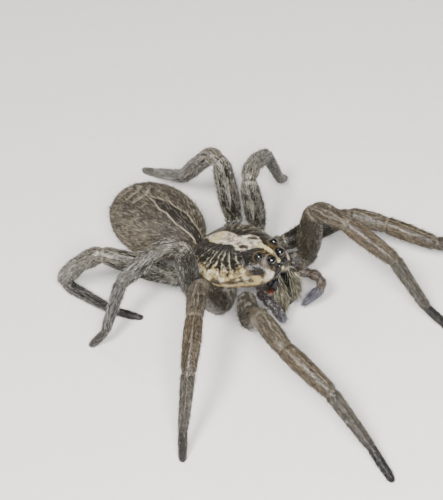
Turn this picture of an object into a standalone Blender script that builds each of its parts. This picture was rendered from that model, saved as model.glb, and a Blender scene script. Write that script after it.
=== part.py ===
"""Wolf spider, a still life-size model standing on a flat floor.

The spider faces -Y and its left side is +X. The floor is z = 0 and the origin is the middle of the
model's footprint. Lengths are in millimetres until they reach a mesh, where MM makes them metres.
"Body" coordinates have their origin at the middle of the carapace, on its side edge.
"""
import math

import bmesh
import bpy
from mathutils import Matrix, Vector

MM = 0.001
MODEL = "wolf_spider"
TINY = 1e-6                  # no slope is worked out over less than this, and points this near are welded

# Driving dimensions, in millimetres
STANCE_HEIGHT = 5.2          # side edge of the carapace above the floor
BODY_PLACE = (0.21, 1.38)    # middle of the carapace from the middle of the footprint
CUT = 0.2                    # thin cut between touching parts
RING_SIDES = 8               # facets round a leg

CARAPACE_LENGTH = 12.0
ABDOMEN_RADII = (4.6, 6.5, 4.1)
ABDOMEN_CENTRE = (0.0, 12.95, -0.2)
ABDOMEN_SWELL = (0.08, -0.05)    # how much fuller towards the rear, and how that eases off
ABDOMEN_FLAT_TOP = 0.95
ABDOMEN_SEGMENTS = (20, 14)
STERNUM_RADII = (2.35, 3.3, 0.85)
STERNUM_CENTRE = (0.0, 1.1, -1.25)
STERNUM_SEGMENTS = (12, 8)
MOUTH_SEGMENTS = (10, 6)
LABIUM_RADII = (0.32, 0.55, 0.4)
LABIUM_CENTRE = (0.0, -2.95, -1.75)
MAXILLA_RADII = (0.62, 0.80, 0.72)
MAXILLA_CENTRE = (1.08, -3.2, -1.4)
PEDICEL_RADIUS = 0.6
PEDICEL_SPAN = (4.75, 6.3)
PEDICEL_HEIGHT = -0.6
PEDICEL_SIDES = 12

# Spinnerets: height and place along Y of each row, distance from the middle, and the cone's size
SPINNERET_ROWS = {"front": (-2.5, 19.2), "back": (-1.5, 19.95)}
SPINNERET_ACROSS = 0.5
SPINNERET_LENGTH = 1.1
SPINNERET_RADII = (0.34, 0.2)
SPINNERET_SIDES = 10
SPINNERET_DROOP = -24        # degrees
SPINNERET_SPLAY = -10

CHELICERA_OFFSET = 1.10
CHELICERA_SIDES = 12
CHELICERA_ORIGIN_Y = -5.2

# Fangs: where the root is, the arc that it follows in degrees, and how far it reaches
FANG_RADIUS = 0.3
FANG_TIP = 0.35              # radius at the tip, as a share of the root's
FANG_ARC = (-5, 75)
FANG_ROOT = (0.35, -5.45, -3.9)
FANG_REACH = (1.15, 0.35, 0.75)
FANG_TILT = 0.15
FANG_STEPS = 6

# Carapace sections from front to back: place along the length (0 to 1), half width, height of the
# lower edge, height of the crest, and how square the section is (1 is an ellipse).
CARAPACE_SECTIONS = (
    (0.020, 1.25, 2.22, 2.50, 0.80),
    (0.036, 1.52, 2.12, 2.92, 0.74),
    (0.060, 1.78, 1.92, 3.42, 0.72),
    (0.095, 2.04, 1.60, 4.00, 0.72),
    (0.145, 2.28, 1.20, 4.42, 0.72),
    (0.220, 2.64, 0.76, 4.58, 0.74),
    (0.330, 3.28, 0.38, 4.40, 0.80),
    (0.470, 4.10, 0.13, 3.85, 0.88),
    (0.620, 4.55, 0.00, 3.20, 0.92),
    (0.770, 4.25, 0.00, 2.60, 0.92),
    (0.890, 3.30, 0.05, 1.85, 0.90),
    (0.965, 2.00, 0.15, 1.10, 0.90),
    (1.000, 0.90, 0.25, 0.58, 0.90),
)
CARAPACE_RINGS = 18
CARAPACE_SIDES = 17
CARAPACE_CROWDING = 0.09     # how much closer the rings stand at the front and back

# Eyes: centre at the left side in body coordinates, radius
EYES = {
    "eye_front_middle": ((0.27, -5.50, 2.95), 0.21),
    "eye_front_side": ((0.80, -5.38, 2.84), 0.17),
    "eye_big": ((0.74, -4.93, 3.90), 0.48),
    "eye_rear": ((1.33, -3.65, 4.30), 0.38),
}
EYE_SOCKET_GAP = 0.05
EYE_SEGMENTS = (10, 7)

# Chelicera sections from top to bottom: height, place along Y, half width, half depth, and how
# much the section slants (rise for each millimetre forwards).
CHELICERA_SECTIONS = (
    (1.42, -4.98, 0.66, 0.62, 0.80),
    (1.08, -5.02, 0.86, 0.92, 0.76),
    (0.40, -5.12, 0.98, 1.10, 0.52),
    (-0.40, -5.26, 1.00, 1.16, 0.26),
    (-1.40, -5.40, 1.00, 1.14, 0.08),
    (-2.40, -5.42, 0.92, 1.00, 0.0),
    (-3.10, -5.40, 0.76, 0.80, 0.0),
    (-3.55, -5.38, 0.50, 0.52, 0.0),
)

# Legs by pair, front to back: where the coxa leaves the body, and the length of each segment. The
# trochanter counts as the coxa's end.
COXA_STARTS = {1: (2.9, -2.4, -1.5), 2: (2.95, 0.1, -1.4), 3: (2.95, 2.45, -1.4), 4: (2.2, 4.5, -1.3)}
SEGMENTS = ("coxa", "femur", "patella", "tibia", "metatarsus", "tarsus")
SEGMENT_LENGTHS = {
    1: (3.3, 8.3, 4.2, 6.5, 6.8, 4.1),
    2: (3.05, 8.2, 4.1, 6.0, 6.5, 3.8),
    3: (3.2, 7.6, 3.5, 4.8, 6.4, 3.4),
    4: (3.1, 9.4, 3.8, 6.8, 7.8, 3.7),
}
PAIR_THICKNESS = {1: 1.0, 2: 0.98, 3: 0.93, 4: 0.98}

# Pose: heading (degrees from +X, about +Z) and pitch of each segment from coxa to metatarsus, and
# the heading of the tarsus, which pitches down until its tip meets the floor.
LEG_POSES = {
    "L1": ((-48, 3), (-53, 80.5), (-89, -5), (-80, -33), (-87, -56), -82),
    "L2": ((-21, 2), (-41, 14), (-68, -11), (-73, -15), (-45, -19), -51),
    "L3": ((8, 0), (70, 84), (27, -14), (21, -31), (8, -70), 30),
    "L4": ((21, 5), (53, 73), (92, -43), (83, -49), (77, -29), 77),
    "R1": ((-140, 3), (-120, 46), (-111, -8), (-96, -21), (-97, -43), -107),
    "R2": ((-159, 2), (-164, 64), (-145, 0), (-150, -21), (-167, -61), -164),
    "R3": ((172, 0), (43, 79), (136, -21), (154, -27), (170, -56), 118),
    "R4": ((159, 5), (127, 31), (108, -37), (96, -50), (-87, -6), -67),
}

# Half depth and half width along each leg segment: fraction of the segment, depth, width
SEGMENT_PROFILES = {
    "coxa": ((0.0, 1.05, 1.00), (0.55, 1.20, 1.12), (1.0, 1.12, 1.05)),
    "femur": ((0.0, 1.02, 0.95), (0.30, 1.38, 1.16), (0.60, 1.36, 1.12), (1.0, 1.10, 1.02)),
    "patella": ((0.0, 1.08, 1.02), (0.45, 1.12, 1.06), (1.0, 0.98, 0.95)),
    "tibia": ((0.0, 0.98, 0.95), (0.35, 1.05, 1.00), (1.0, 0.86, 0.84)),
    "metatarsus": ((0.0, 0.80, 0.78), (0.30, 0.76, 0.74), (1.0, 0.58, 0.58)),
    "tarsus": ((0.0, 0.52, 0.52), (0.45, 0.52, 0.52), (0.90, 0.42, 0.44), (1.0, 0.25, 0.28)),
}
STATIONS_PER_SEGMENT = {"coxa": 2, "femur": 4, "patella": 2, "tibia": 3, "metatarsus": 3, "tarsus": 3}
TIP_HEIGHT = -0.06           # end of a tarsus, just below the floor that cuts its sole flat
CORNER_EASE = 0.56           # how far a corner opens past the tube's own radius, per radian
LEAST_TURN = 0.12            # smallest turn, in radians, that the ease is worked out for
LONGEST_CORNER = 0.66        # most of a segment that its corner may take
CORNER_PARTS = (0.25, 0.5, 0.75)

# Palps: joints in body coordinates from the trochanter to the tip, and the radii there
PALPS = {
    "L": ((2.3, -3.9, -0.6), (3.2, -6.65, -0.8), (3.15, -8.3, -0.45), (2.95, -8.3, -2.05),
          (1.3, -6.8, -4.1)),
    "R": ((-2.3, -3.9, -0.5), (-2.8, -5.0, -0.1), (-3.0, -6.5, -0.7), (-2.75, -6.85, -1.95),
          (-1.6, -6.25, -4.3)),
}
PALP_RADII = (0.50, 0.56, 0.56, 0.52, 0.24)
PALP_SWELL = 0.12            # how much fuller the arm is in the middle of a segment
PALP_SIDES = 8
PALP_STATIONS = {"arm_a": 3, "arm_b": 1, "arm_c": 1, "foot": 4}


def clear_scene():
    """Remove every object, so that the script gives the same result each time."""
    for item in list(bpy.data.objects):
        bpy.data.objects.remove(item, do_unlink=True)


def new_collection(name):
    """A collection linked to the scene."""
    collection = bpy.data.collections.new(name)
    bpy.context.scene.collection.children.link(collection)
    return collection


def finish(name, colour, roughness):
    """A Principled material with one colour and roughness."""
    material = bpy.data.materials.new(name)
    material.use_nodes = True
    shader = material.node_tree.nodes["Principled BSDF"]
    shader.inputs["Base Color"].default_value = (*colour, 1.0)
    shader.inputs["Roughness"].default_value = roughness
    shader.inputs["Metallic"].default_value = 0.0
    return material


def place(point):
    """Model position in metres of a point given in body coordinates."""
    return Vector((point[0] + BODY_PLACE[0], point[1] + BODY_PLACE[1], point[2] + STANCE_HEIGHT)) * MM


def mix(low, high, part):
    """Value between two numbers."""
    return low + (high - low) * part


def smooth_profile(stations, at):
    """Values of a profile at one place, on a smooth curve through its stations."""
    last = len(stations) - 1
    index = 0
    while index < last - 1 and at > stations[index + 1][0]:
        index += 1
    start, end = stations[index], stations[index + 1]
    before, after = stations[max(index - 1, 0)], stations[min(index + 2, last)]
    span = end[0] - start[0]
    part = min(max((at - start[0]) / span, 0.0), 1.0)
    values = []
    for column in range(1, len(start)):
        slope_in = (end[column] - before[column]) / max(end[0] - before[0], TINY) * span
        slope_out = (after[column] - start[column]) / max(after[0] - start[0], TINY) * span
        square, cube = part * part, part ** 3
        values.append((2 * cube - 3 * square + 1) * start[column] + (cube - 2 * square + part) * slope_in
                      + (3 * square - 2 * cube) * end[column] + (cube - square) * slope_out)
    return values


def add_object(name, mesh, origin, material, collection, parent):
    """Put a mesh in the scene as one sub-part with its own material."""
    item = bpy.data.objects.new(name, mesh)
    item.location = origin
    item.data.materials.append(material)
    collection.objects.link(item)
    item.parent = parent
    item.data.shade_smooth()
    return item


def cut_at_floor(shape, origin):
    """Cut a mesh flat at the floor and close it there."""
    everything = list(shape.verts) + list(shape.edges) + list(shape.faces)
    bmesh.ops.bisect_plane(shape, geom=everything, plane_co=(0, 0, -origin.z), plane_no=(0, 0, 1),
                           dist=1e-8, clear_inner=True)
    rim = [edge for edge in shape.edges if edge.is_boundary]
    bmesh.ops.contextual_create(shape, geom=rim)


def loft(name, rings, origin, stands=False):
    """Closed mesh through rings of points in metres, flat at each end and at the floor if it stands."""
    mesh = bpy.data.meshes.new(name)
    shape = bmesh.new()
    loops = [[shape.verts.new(point - origin) for point in ring] for ring in rings]
    count = len(loops[0])
    for near, far in zip(loops, loops[1:]):
        for side in range(count):
            after = (side + 1) % count
            shape.faces.new((near[side], near[after], far[after], far[side]))
    shape.faces.new(list(reversed(loops[0])))
    shape.faces.new(loops[-1])
    if stands:
        cut_at_floor(shape, origin)
    bmesh.ops.recalc_face_normals(shape, faces=shape.faces)
    shape.to_mesh(mesh)
    shape.free()
    return mesh


def ovoid(name, radii, segments):
    """Closed mesh of a sphere stretched to three radii in millimetres, its poles along Y."""
    mesh = bpy.data.meshes.new(name)
    shape = bmesh.new()
    bmesh.ops.create_uvsphere(shape, u_segments=segments[0], v_segments=segments[1], radius=MM)
    bmesh.ops.rotate(shape, verts=shape.verts, cent=(0, 0, 0), matrix=Matrix.Rotation(math.pi / 2, 3, "X"))
    bmesh.ops.scale(shape, verts=shape.verts, vec=radii)
    shape.to_mesh(mesh)
    shape.free()
    return mesh


def carapace_mesh():
    """The domed shield over the head and thorax, its side edge low and flat underneath."""
    rings = []
    first, last = CARAPACE_SECTIONS[0][0], CARAPACE_SECTIONS[-1][0]
    for index in range(CARAPACE_RINGS):
        turn = index / (CARAPACE_RINGS - 1)
        along = mix(first, last, turn - CARAPACE_CROWDING * math.sin(2 * math.pi * turn))
        half_width, low, crest, squareness = smooth_profile(CARAPACE_SECTIONS, along)
        ring = []
        for side in range(CARAPACE_SIDES):
            angle = math.pi * side / (CARAPACE_SIDES - 1)
            across = half_width * math.copysign(abs(math.cos(angle)) ** squareness, math.cos(angle))
            up = low + (crest - low) * math.sin(angle) ** squareness
            ring.append(place((across, (along - 0.5) * CARAPACE_LENGTH, up)))
        rings.append(ring)
    return loft("carapace", rings, place((0, 0, 0)))


def cut_sockets(carapace, cutters):
    """Hollow the carapace where the eyes sit."""
    for name, (centre, radius) in EYES.items():
        for side, sign in (("L", 1), ("R", -1)):
            reach = radius + EYE_SOCKET_GAP
            mesh = ovoid(f"cut_{name}_{side}", (reach, reach, reach), EYE_SEGMENTS)
            cutter = bpy.data.objects.new(mesh.name, mesh)
            cutter.location = place((sign * centre[0], centre[1], centre[2]))
            cutter.hide_render = True
            cutter.display_type = "WIRE"
            cutters.objects.link(cutter)
            socket = carapace.modifiers.new(f"socket_{name}_{side}", "BOOLEAN")
            socket.operation = "DIFFERENCE"
            socket.solver = "EXACT"
            socket.object = cutter


def chelicera_mesh(side, sign):
    """One jaw base: an upright oval column, slanted at the top to follow the face."""
    rings = []
    for height, along, half_width, half_depth, slant in CHELICERA_SECTIONS:
        ring = []
        for step in range(CHELICERA_SIDES):
            angle = 2 * math.pi * step / CHELICERA_SIDES
            forward = half_depth * math.sin(angle)
            across = sign * CHELICERA_OFFSET + half_width * math.cos(angle)
            ring.append(place((across, along - forward, height + slant * forward)))
        rings.append(ring)
    return loft(f"chelicera_{side}", rings, place((sign * CHELICERA_OFFSET, CHELICERA_ORIGIN_Y, 0)))


def fang_mesh(side, sign):
    """One fang: a tapered tube that curves inwards under the jaw base."""
    curve = bpy.data.curves.new(f"fang_{side}", "CURVE")
    curve.dimensions = "3D"
    curve.bevel_depth = FANG_RADIUS * MM
    curve.bevel_resolution = 1
    curve.use_fill_caps = True
    spline = curve.splines.new("POLY")
    spline.points.add(FANG_STEPS - 1)
    root_x, root_y, root_z = FANG_ROOT
    reach_x, reach_y, reach_z = FANG_REACH
    for step in range(FANG_STEPS):
        part = step / (FANG_STEPS - 1)
        angle = math.radians(mix(*FANG_ARC, part))
        across = CHELICERA_OFFSET + root_x - reach_x * (1 - math.cos(angle)) - FANG_TILT * part
        position = place((sign * across, root_y + reach_y * part, root_z - reach_z * math.sin(angle)))
        spline.points[step].co = (*position, 1.0)
        spline.points[step].radius = mix(1.0, FANG_TIP, part)
    holder = bpy.data.objects.new(curve.name, curve)
    bpy.context.scene.collection.objects.link(holder)
    bpy.context.view_layer.update()
    mesh = bpy.data.meshes.new_from_object(holder.evaluated_get(bpy.context.evaluated_depsgraph_get()))
    bpy.data.objects.remove(holder, do_unlink=True)
    shape = bmesh.new()
    shape.from_mesh(mesh)
    bmesh.ops.remove_doubles(shape, verts=shape.verts, dist=TINY)
    bmesh.ops.recalc_face_normals(shape, faces=shape.faces)
    shape.to_mesh(mesh)
    shape.free()
    mesh.materials.clear()
    return mesh


def direction(heading, pitch):
    """Unit vector from a heading and a pitch in degrees."""
    turn, rise = math.radians(heading), math.radians(pitch)
    return Vector((math.cos(rise) * math.cos(turn), math.cos(rise) * math.sin(turn), math.sin(rise)))


def leg_joints(leg):
    """Joints of one leg in body coordinates, from the coxa's start to the tarsus tip."""
    pair = int(leg[1])
    joints = [Vector(COXA_STARTS[pair])]
    joints[0].x *= 1 if leg[0] == "L" else -1
    lengths = SEGMENT_LENGTHS[pair]
    for length, (heading, pitch) in zip(lengths, LEG_POSES[leg][:-1]):
        joints.append(joints[-1] + direction(heading, pitch) * length)
    drop = TIP_HEIGHT - STANCE_HEIGHT - joints[-1].z
    pitch = math.degrees(math.asin(drop / lengths[-1]))
    joints.append(joints[-1] + direction(LEG_POSES[leg][-1], pitch) * lengths[-1])
    return joints


def tube_stations(joints, names, radius_at, stations):
    """Stations along a jointed tube whose corners are rounded.

    Each station is its centre, direction, segment name, fraction of the segment, and True in the
    middle of a corner, where the tube may be cut.
    """
    path = [(joints[0], (joints[1] - joints[0]).normalized(), names[0], 0.0, False)]
    trims = [0.0] * len(joints)
    corners = {}
    for index in range(1, len(joints) - 1):
        before = (joints[index] - joints[index - 1]).normalized()
        after = (joints[index + 1] - joints[index]).normalized()
        turn = before.angle(after)
        bend = radius_at(names[index]) + CORNER_EASE / max(turn, LEAST_TURN)
        shorter = min((joints[index] - joints[index - 1]).length, (joints[index + 1] - joints[index]).length)
        trims[index] = min(bend * math.tan(turn / 2), LONGEST_CORNER * shorter)
        corners[index] = (before, after)
    for index, name in enumerate(names):
        start, end = joints[index], joints[index + 1]
        along = (end - start).normalized()
        length = (end - start).length
        first, last = trims[index] / length, 1 - trims[index + 1] / length
        for step in range(1 if index == 0 else 0, stations[name] + 1):
            part = mix(first, last, step / stations[name])
            path.append((start + along * length * part, along, name, part, False))
        if index + 1 in corners:
            after = index + 1
            path.extend(corner_stations(joints[after], corners[after], trims[after], name, names[after]))
    return path


def corner_stations(corner, ways, trim, name_before, name_after):
    """Three stations round a corner, on a circle that touches both straight runs."""
    before, after = ways
    entry = corner - before * trim
    turned = before.rotation_difference(after)
    radius = trim / math.tan(turned.angle / 2)
    centre = entry + (after - before * before.dot(after)).normalized() * radius
    found = []
    for part in CORNER_PARTS:
        turn = Matrix.Rotation(turned.angle * part, 3, turned.axis)
        first_half = part <= CORNER_PARTS[1]
        name = name_before if first_half else name_after
        spot = centre + turn @ (entry - centre)
        found.append((spot, turn @ before, name, float(first_half), part == CORNER_PARTS[1]))
    return found


def tube_rings(path, section_at, sides):
    """Rings of points for each station, carried along the path without twisting."""
    rings = []
    tangent = path[0][1]
    side = tangent.cross(Vector((0, 0, 1))).normalized()
    for centre, heading, name, part, _ in path:
        side.rotate(tangent.rotation_difference(heading))
        tangent = heading
        up = side.cross(tangent).normalized()
        depth, width = section_at(name, part)
        ring = []
        for step in range(sides):
            angle = 2 * math.pi * (step + 0.5) / sides
            ring.append(centre + side * width * math.cos(angle) + up * depth * math.sin(angle))
        rings.append(ring)
    return rings


def shifted(ring, offset):
    """A ring moved by an offset."""
    return [point + offset for point in ring]


def split_tube(path, rings, cuts):
    """Lists of rings in metres, one for each part of a tube, with a thin cut between parts."""
    parts = []
    current = []
    corner = 0
    for (_, tangent, _, _, is_corner), ring in zip(path, rings):
        if not is_corner:
            current.append(ring)
            continue
        corner += 1
        if corner not in cuts:
            current.append(ring)
            continue
        current.append(shifted(ring, tangent * (-CUT / 2)))
        parts.append(current)
        current = [shifted(ring, tangent * (CUT / 2))]
    parts.append(current)
    return [[[place(point) for point in ring] for ring in part] for part in parts]


def leg_parts(leg):
    """Meshes of one leg: coxa, femur, tibia with the patella, and foot (metatarsus and tarsus)."""
    thickness = PAIR_THICKNESS[int(leg[1])]

    def section_at(name, part):
        depth, width = smooth_profile(SEGMENT_PROFILES[name], part)
        return depth * thickness, width * thickness

    joints = leg_joints(leg)
    path = tube_stations(joints, SEGMENTS, lambda name: section_at(name, 0.0)[0], STATIONS_PER_SEGMENT)
    rings = tube_rings(path, section_at, RING_SIDES)
    parts = split_tube(path, rings, cuts=(1, 2, 4))
    origins = [place(joints[0]), place(joints[1]), place(joints[2]), place(joints[4])]
    labels = ("coxa", "femur", "tibia", "foot")
    return [(f"{label}_{leg}", loft(f"{label}_{leg}", part, origin, stands=label == "foot"), origin)
            for label, part, origin in zip(labels, parts, origins)]


def palp_parts(side):
    """Meshes of one palp: its arm and its foot."""
    joints = [Vector(point) for point in PALPS[side]]
    names = ("arm_a", "arm_b", "arm_c", "foot")

    def section_at(name, part):
        index = names.index(name)
        swell = 1.0 + PALP_SWELL * math.sin(math.pi * part) if name != "foot" else 1.0
        taper = part ** 2 if name == "foot" else part
        radius = mix(PALP_RADII[index], PALP_RADII[index + 1], taper) * swell
        return radius, radius

    path = tube_stations(joints, names, lambda name: section_at(name, 0.0)[0], PALP_STATIONS)
    rings = tube_rings(path, section_at, PALP_SIDES)
    parts = split_tube(path, rings, cuts=(3,))
    origins = [place(joints[0]), place(joints[3])]
    labels = ("palp", "palp_foot")
    return [(f"{label}_{side}", loft(f"{label}_{side}", part, origin), origin)
            for label, part, origin in zip(labels, parts, origins)]


def abdomen_mesh():
    """The egg-shaped rear body, fullest behind its middle and a little flat on top."""
    mesh = ovoid("abdomen", ABDOMEN_RADII, ABDOMEN_SEGMENTS)
    half_length = ABDOMEN_RADII[1] * MM
    for vertex in mesh.vertices:
        along = vertex.co.y / half_length
        swell = 1.0 + ABDOMEN_SWELL[0] * along + ABDOMEN_SWELL[1] * along ** 2
        vertex.co.x *= swell
        vertex.co.z *= swell * (ABDOMEN_FLAT_TOP if vertex.co.z > 0 else 1.0)
    return mesh


def spinneret_mesh(name):
    """One blunt cone, its length along +Y."""
    mesh = bpy.data.meshes.new(name)
    shape = bmesh.new()
    turn = Matrix.Rotation(-math.pi / 2, 3, "X")
    root, tip = SPINNERET_RADII
    bmesh.ops.create_cone(shape, cap_ends=True, segments=SPINNERET_SIDES, radius1=root * MM,
                          radius2=tip * MM, depth=SPINNERET_LENGTH * MM)
    bmesh.ops.rotate(shape, verts=shape.verts, cent=(0, 0, 0), matrix=turn)
    shape.to_mesh(mesh)
    shape.free()
    return mesh


def build_head(collection, cutters, root, skins):
    """Carapace, eyes, jaws, fangs and palps."""
    carapace = add_object("carapace", carapace_mesh(), place((0, 0, 0)), skins["shield"], collection, root)
    cut_sockets(carapace, cutters)
    for name, (centre, radius) in EYES.items():
        for side, sign in (("L", 1), ("R", -1)):
            mesh = ovoid(f"{name}_{side}", (radius, radius, radius), EYE_SEGMENTS)
            spot = place((sign * centre[0], centre[1], centre[2]))
            add_object(f"{name}_{side}", mesh, spot, skins["eye"], collection, root)
    for side, sign in (("L", 1), ("R", -1)):
        jaw_origin = place((sign * CHELICERA_OFFSET, CHELICERA_ORIGIN_Y, 0))
        jaw = chelicera_mesh(side, sign)
        add_object(jaw.name, jaw, jaw_origin, skins["jaw"], collection, root)
        add_object(f"fang_{side}", fang_mesh(side, sign), (0, 0, 0), skins["fang"], collection, root)
        for name, mesh, origin in palp_parts(side):
            add_object(name, mesh, origin, skins["palp"], collection, root)


def build_underside(collection, root, skins):
    """Sternum, mouth plates and pedicel."""
    add_object("sternum", ovoid("sternum", STERNUM_RADII, STERNUM_SEGMENTS), place(STERNUM_CENTRE),
               skins["under"], collection, root)
    add_object("labium", ovoid("labium", LABIUM_RADII, MOUTH_SEGMENTS), place(LABIUM_CENTRE),
               skins["under"], collection, root)
    across, along, height = MAXILLA_CENTRE
    for side, sign in (("L", 1), ("R", -1)):
        add_object(f"maxilla_{side}", ovoid(f"maxilla_{side}", MAXILLA_RADII, MOUTH_SEGMENTS),
                   place((sign * across, along, height)), skins["under"], collection, root)
    mesh = bpy.data.meshes.new("pedicel")
    shape = bmesh.new()
    bmesh.ops.create_cone(shape, cap_ends=True, segments=PEDICEL_SIDES, radius1=PEDICEL_RADIUS * MM,
                          radius2=PEDICEL_RADIUS * MM, depth=(PEDICEL_SPAN[1] - PEDICEL_SPAN[0]) * MM)
    bmesh.ops.rotate(shape, verts=shape.verts, cent=(0, 0, 0), matrix=Matrix.Rotation(math.pi / 2, 3, "X"))
    shape.to_mesh(mesh)
    shape.free()
    middle = (PEDICEL_SPAN[0] + PEDICEL_SPAN[1]) / 2
    add_object("pedicel", mesh, place((0, middle, PEDICEL_HEIGHT)), skins["under"], collection, root)


def build_abdomen(collection, root, skins):
    """Abdomen and its four spinnerets."""
    add_object("abdomen", abdomen_mesh(), place(ABDOMEN_CENTRE), skins["abdomen"], collection, root)
    for row, (height, along) in SPINNERET_ROWS.items():
        for side, sign in (("L", 1), ("R", -1)):
            name = f"spinneret_{row}_{side}"
            spot = place((sign * SPINNERET_ACROSS, along, height))
            item = add_object(name, spinneret_mesh(name), spot, skins["abdomen"], collection, root)
            item.rotation_euler = (math.radians(SPINNERET_DROOP), 0, math.radians(SPINNERET_SPLAY * sign))


def build_legs(collection, root, skins):
    """Four pairs of legs, each in four parts."""
    for leg in LEG_POSES:
        skin = skins["front_leg"] if leg[1] in "12" else skins["rear_leg"]
        for name, mesh, origin in leg_parts(leg):
            add_object(name, mesh, origin, skin, collection, root)


def main():
    """Build the whole spider."""
    clear_scene()
    collection = new_collection(MODEL)
    cutters = new_collection(f"{MODEL}_cutters")
    root = bpy.data.objects.new("root", None)
    collection.objects.link(root)
    skins = {
        "shield": finish("shield_brown", (0.16, 0.11, 0.06), 0.55),
        "abdomen": finish("abdomen_grey_brown", (0.20, 0.16, 0.12), 0.75),
        "front_leg": finish("leg_brown", (0.22, 0.15, 0.10), 0.65),
        "rear_leg": finish("leg_grey", (0.22, 0.20, 0.18), 0.70),
        "palp": finish("palp_brown", (0.20, 0.15, 0.11), 0.65),
        "jaw": finish("jaw_dark", (0.10, 0.085, 0.06), 0.45),
        "under": finish("underside_dark", (0.06, 0.05, 0.045), 0.70),
        "eye": finish("eye_black", (0.008, 0.007, 0.007), 0.08),
        "fang": finish("fang_black", (0.02, 0.012, 0.01), 0.20),
    }
    build_head(collection, cutters, root, skins)
    build_underside(collection, root, skins)
    build_abdomen(collection, root, skins)
    build_legs(collection, root, skins)


main()
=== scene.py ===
"""Wolf spider, life size: one skin with its coat, eyes, fangs, claws and spines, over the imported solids."""

import logging
import math
from dataclasses import dataclass, field
from enum import Enum
from typing import Any

import bmesh
import bpy
import numpy as np
from mathutils import Matrix, Vector, noise
from mathutils.kdtree import KDTree


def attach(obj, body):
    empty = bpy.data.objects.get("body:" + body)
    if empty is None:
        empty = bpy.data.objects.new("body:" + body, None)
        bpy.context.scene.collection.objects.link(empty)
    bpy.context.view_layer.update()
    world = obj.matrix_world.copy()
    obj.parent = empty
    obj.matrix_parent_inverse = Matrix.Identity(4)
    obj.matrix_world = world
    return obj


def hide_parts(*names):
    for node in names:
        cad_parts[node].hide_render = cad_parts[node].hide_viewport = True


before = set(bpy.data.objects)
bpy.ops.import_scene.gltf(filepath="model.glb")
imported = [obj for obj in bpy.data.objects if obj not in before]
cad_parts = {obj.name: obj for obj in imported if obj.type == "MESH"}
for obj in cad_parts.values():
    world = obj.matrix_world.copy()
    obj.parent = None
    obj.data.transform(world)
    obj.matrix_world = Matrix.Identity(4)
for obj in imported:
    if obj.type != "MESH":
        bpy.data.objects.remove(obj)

LOG = logging.getLogger("spider")
MM = 0.001
DIM = 0.78                   # share of its looks that a white surface has of its own
DEEPEN = 0.24                # how much more the dark ones are deepened
RICHNESS = 0.97              # a surface's strength of colour beside that of its looks
BODY_PLACE = np.array((0.21, 1.38, 5.2))   # body coordinates to model coordinates, millimetres
FLOOR = -BODY_PLACE[2]       # height of the floor in body coordinates
SHIELD_LENGTH = 12.0         # the carapace from front to rear
RAY_CENTRE = 1.5             # place from front to rear that its furrows and streaks point to
LARGE_EYE = 0.3              # radius past which an eye has a tan ring
LEG_END = 6.0                # place of a leg's tip, counted in segments
CORNER_OPENING = 0.56        # how far a joint's corner opens past the limb's radius, per radian
CORNER_SHARE = 0.66          # most of a segment that a joint's corner takes
UP = Vector((0, 0, 1))
Item = bpy.types.Object
Mesh = bpy.types.Mesh
Socket = bpy.types.NodeSocket
Place = tuple[float, float, float]
Colour = tuple[float, float, float]
Stations = tuple[tuple[float, ...], ...]
Faces = list[tuple[int, ...]]
Arrays = tuple[np.ndarray, np.ndarray, np.ndarray]


class Region(Enum):
    """Parts of the skin that have a finish and a coat of their own."""

    SHIELD = 0
    ABDOMEN = 1
    FRONT_LEG = 2
    REAR_LEG = 3
    PALP = 4
    JAW = 5
    UNDER = 6


# ---------------------------------------------------------------- small maths


def shade(red: int, green: int, blue: int, dim: float = DIM, deepen: float = DEEPEN) -> Colour:
    """Linear colour of a surface that looks like an eight-bit display colour in the studio's light."""
    linear = [((c / 255 + 0.055) / 1.055) ** 2.4 for c in (red, green, blue)]
    grey = sum(linear) / 3
    tone = dim * grey ** deepen
    return tuple(max(grey + (c - grey) * RICHNESS, 0.001) * tone for c in linear)


def lit(red: int, green: int, blue: int) -> Colour:
    """Linear colour of a surface that is neither dimmed nor deepened."""
    return shade(red, green, blue, 1.0, 0.0)


def colour_stops(*rows: tuple[float, int, int, int]) -> list[tuple[float, Colour]]:
    """Stops of a ramp from rows of place and eight-bit display colour."""
    return [(place, shade(red, green, blue)) for place, red, green, blue in rows]


def unit(vectors: np.ndarray) -> np.ndarray:
    """Vectors made one long."""
    return vectors / np.maximum(np.linalg.norm(vectors, axis=-1, keepdims=True), 1e-9)


def ease(values: np.ndarray, low: float, high: float) -> np.ndarray:
    """Smooth step from 0 at low to 1 at high."""
    part = np.clip((values - low) / (high - low), 0, 1)
    return part * part * (3 - 2 * part)


def bell(values: np.ndarray, centre: float, width: float) -> np.ndarray:
    """Soft bump of height 1 round a centre."""
    return np.exp(-((values - centre) / width) ** 2)


def smooth_profile(stations: Stations, at: np.ndarray) -> np.ndarray:
    """Values of a profile on a smooth curve through its stations.

    Args:
        stations: rows of place and values, in order of place.
        at: places to read.

    Returns:
        One row of values for each place.
    """
    table = np.array(stations, float)
    at = np.atleast_1d(np.asarray(at, float))
    index = np.clip(np.searchsorted(table[:, 0], at, side="right") - 1, 0, len(table) - 2)
    start, end = table[index], table[index + 1]
    before, after = table[np.maximum(index - 1, 0)], table[np.minimum(index + 2, len(table) - 1)]
    span = (end[:, 0] - start[:, 0])[:, None]
    part = np.clip((at - start[:, 0])[:, None] / span, 0, 1)
    slope_in = (end - before)[:, 1:] / (end[:, :1] - before[:, :1]) * span
    slope_out = (after - start)[:, 1:] / (after[:, :1] - start[:, :1]) * span
    square, cube = part ** 2, part ** 3
    return ((2 * cube - 3 * square + 1) * start[:, 1:] + (cube - 2 * square + part) * slope_in
            + (3 * square - 2 * cube) * end[:, 1:] + (cube - square) * slope_out)


def direction(heading: float, pitch: float) -> Vector:
    """Unit vector from a heading and a pitch in degrees."""
    turn, rise = math.radians(heading), math.radians(pitch)
    return Vector((math.cos(rise) * math.cos(turn), math.cos(rise) * math.sin(turn), math.sin(rise)))


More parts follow.
